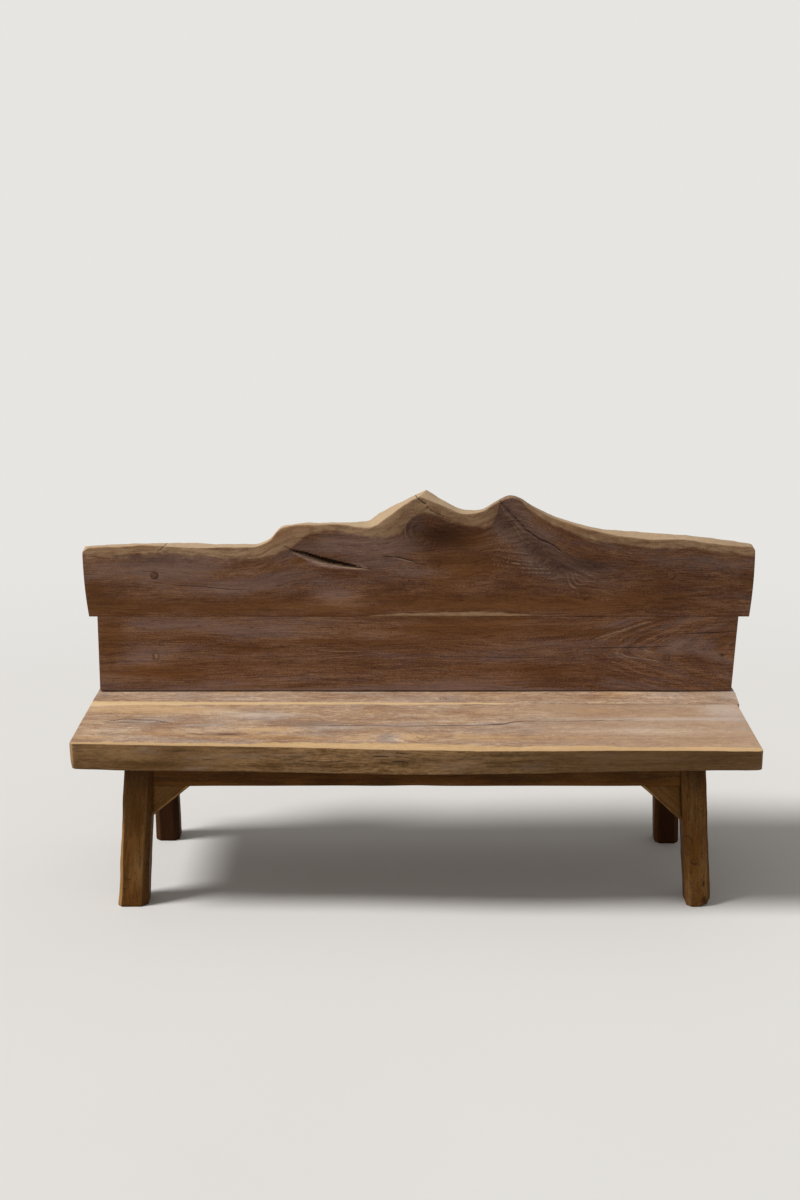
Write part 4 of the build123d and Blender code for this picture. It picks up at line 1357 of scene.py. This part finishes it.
# Back and seat are the same kind of wood: the seat's colours are lighter partly as painted light on its
# upward-facing top, and the back's darker partly as painted shade on its face; the rest is a real difference
# in tone.
back_colours = dict(
    dark=(76, 46, 28), mid=(103, 68, 46), light=(121, 86, 62), bright=(146, 110, 84), gold=(120, 79, 44),
    gold_dark=(82, 49, 24), grey=(137, 109, 96), grey_dark=(93, 69, 60), line=(140, 112, 92),
    sap=(182, 152, 118), sap_dark=(122, 92, 67), hair=(184, 160, 134), spot=(52, 31, 20), gap=(15, 10, 7),
    bark=(150, 118, 74), bark_dark=(100, 74, 42), rim=(190, 166, 134), soil=(150, 130, 112),
    blush=(160, 117, 84),
)
seat_colours = dict(
    dark=(132, 98, 74), mid=(164, 134, 109), light=(185, 157, 131), bright=(212, 188, 161),
    gold=(201, 166, 126), gold_dark=(147, 110, 78), grey=(198, 178, 162), grey_dark=(142, 121, 106),
    line=(190, 164, 144), sap=(215, 181, 132), sap_dark=(186, 150, 107), hair=(206, 186, 164),
    spot=(86, 56, 34), gap=(60, 42, 33), bark=(166, 130, 90), bark_dark=(95, 66, 34), rim=(228, 198, 154),
    soil=(150, 130, 112), blush=(216, 176, 136),
)
frame_colours = dict(
    dark=(75, 43, 12), mid=(96, 63, 27), light=(113, 79, 39), bright=(136, 99, 57), gold=(118, 75, 26),
    gold_dark=(78, 45, 12), grey=(112, 83, 50), grey_dark=(80, 55, 28), line=(160, 130, 100),
    sap=(172, 128, 72), sap_dark=(118, 82, 40), hair=(170, 138, 100), spot=(38, 21, 8), gap=(30, 17, 8),
    bark=(140, 98, 52), bark_dark=(86, 57, 28), rim=(190, 150, 96), soil=(134, 97, 32),
    blush=(150, 104, 58),
)
peg_colours = dict(
    back_colours, dark=(60, 40, 30), mid=(86, 58, 42), light=(110, 76, 54), bright=(130, 96, 70),
)

# Shares of the broad, cloudy, speckled, fibrous and streaky layers in the tone
back_layers = (0.21, 0.19, 0.23, 0.20, 0.17)
seat_layers = (0.26, 0.25, 0.24, 0.11, 0.14)
woods = {
    "back_wood": wood("back_wood", back_colours, back_layers, 0.0055, 0.115, 0.0),
    "seat_wood": wood("seat_wood", seat_colours, seat_layers, 0.008, 0.115, 5.0),
    "frame_wood": wood("frame_wood", frame_colours, back_layers, 0.006, 0.12, 9.0),
    "peg_wood": wood("peg_wood", peg_colours, back_layers, 0.003, 0.2, 13.0),
}
dowel_wood = wood("dowel_wood", peg_colours, back_layers, 0.003, 0.2, 19.0, by_place=True)

# Pieces
back_upper_slab()
back_lower_board()
seat_front_slab()
seat_rear_board()
front_leg("front_leg_left", -1)
front_leg("front_leg_right", 1)
rear_post("rear_post_left", -1)
rear_post("rear_post_right", 1)
rail("front_apron", lambda z: (-leg_inner_face(-1, z) - rail_sunk, leg_inner_face(1, z) + rail_sunk),
     rail_thickness / 2 - front_apron_setback, 101)
rail("rear_apron", lambda z: (-post_face - 2 * rail_sunk, post_face + 2 * rail_sunk), post_middle, 105)
for side, word in ((-1, "left"), (1, "right")):
    rail("side_rail_" + word, side_rail_ends, side * side_rail_spread, 110 + side, (1, 0, 2))
    brace("front_brace_" + word, side, lambda z, side=side: leg_inner_face(side, z) + 1.0,
          brace_setback - front_apron_setback, *front_brace_sizes[side])
    brace("rear_brace_" + word, side, lambda z, side=side: post_face + side * post_shift(side, z)[0] + 1.0,
          post_middle - brace_thickness / 2, *rear_brace_sizes[side])
back_pegs()
for name in ("seat_edge_dowels", "back_edge_dowels", "seat_dowels", "brace_dowels"):
    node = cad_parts[name]
    node.data.materials.clear()
    node.data.materials.append(dowel_wood)

# Floor, light and camera, in metres
backdrop = (0.80, 0.785, 0.76, 1)
floor_tints = [(0.68, 0.665, 0.64, 1), (0.72, 0.705, 0.68, 1)]
floor_bounce = (0.34, 0.32, 0.29, 1)
floor_fade = (1.3, 4.2)
floor_reach = 14.0
sky_colour = (1.0, 0.98, 0.95, 1)
sky_strength = 0.34
sun_place = Vector((-4.6, -1.25, 6.6))
sun_target = Vector((middle_x, 0.0, 0.45))
sun_angle = 15.0
sun_strength = 3.0
camera_left = 0.038
camera_away = 4.063
camera_height = 1.745
camera_pitch = 14.789


def floor_paint():
    """Pale floor that keeps the shadow near the bench and fades into the background further off."""
    material = bpy.data.materials.new("floor_paint")
    t = Tree(material)
    place = t.place()
    cloud = t.noise(place, 0.8, 0.8, 3.0, 0.5)
    seen = t.seen()
    colour = t.mix(seen, floor_bounce, t.mix(cloud, *floor_tints))
    paint = t.surface(colour, t.step(cloud, 0.0, 1.0, 0.8, 0.95), cloud, 0.0005, 0.1)
    x, y, _ = t.parts(place)
    far = t.step(t.maths("SQRT", x * x + y * y), *floor_fade)
    glow = t.add("Emission", {0: backdrop})
    t.end("Material", t.add("MixShader", {0: seen * far, 1: paint, 2: glow}))
    return material


floor_mesh = bpy.data.meshes.new("floor")
corners = [(x * floor_reach, y * floor_reach, 0) for x, y in ((-1, -1), (1, -1), (1, 1), (-1, 1))]
floor_mesh.from_pydata(corners, [], [(0, 1, 2, 3)])
floor_mesh.materials.append(floor_paint())
floor = put("floor", floor_mesh)

sun = bpy.data.lights.new("key", "SUN")
sun.angle = math.radians(sun_angle)
sun.energy = sun_strength
key = put("key", sun)
key.location = sun_place
key.rotation_euler = (sun_target - sun_place).to_track_quat("-Z", "Y").to_euler()

world = bpy.data.worlds.new("studio")
bpy.context.scene.world = world
studio = Tree(world)
sky = studio.add("Background", {0: sky_colour, 1: sky_strength})
plain = studio.add("Background", {0: backdrop, 1: 1.0})
studio.end("World", studio.add("MixShader", {0: studio.seen(), 1: sky, 2: plain}))

camera_data = bpy.data.cameras.new("camera")
camera_data.lens = 50.0
camera_data.sensor_width = 36.0
camera_data.sensor_fit = "AUTO"
camera = put("camera", camera_data)
camera.location = (middle_x - camera_left, back_y - camera_away, camera_height)
camera.rotation_euler = (math.radians(90 - camera_pitch), 0, 0)
bpy.context.scene.camera = camera
bpy.context.scene.view_settings.view_transform = "Standard"

bpy.context.view_layer.update()
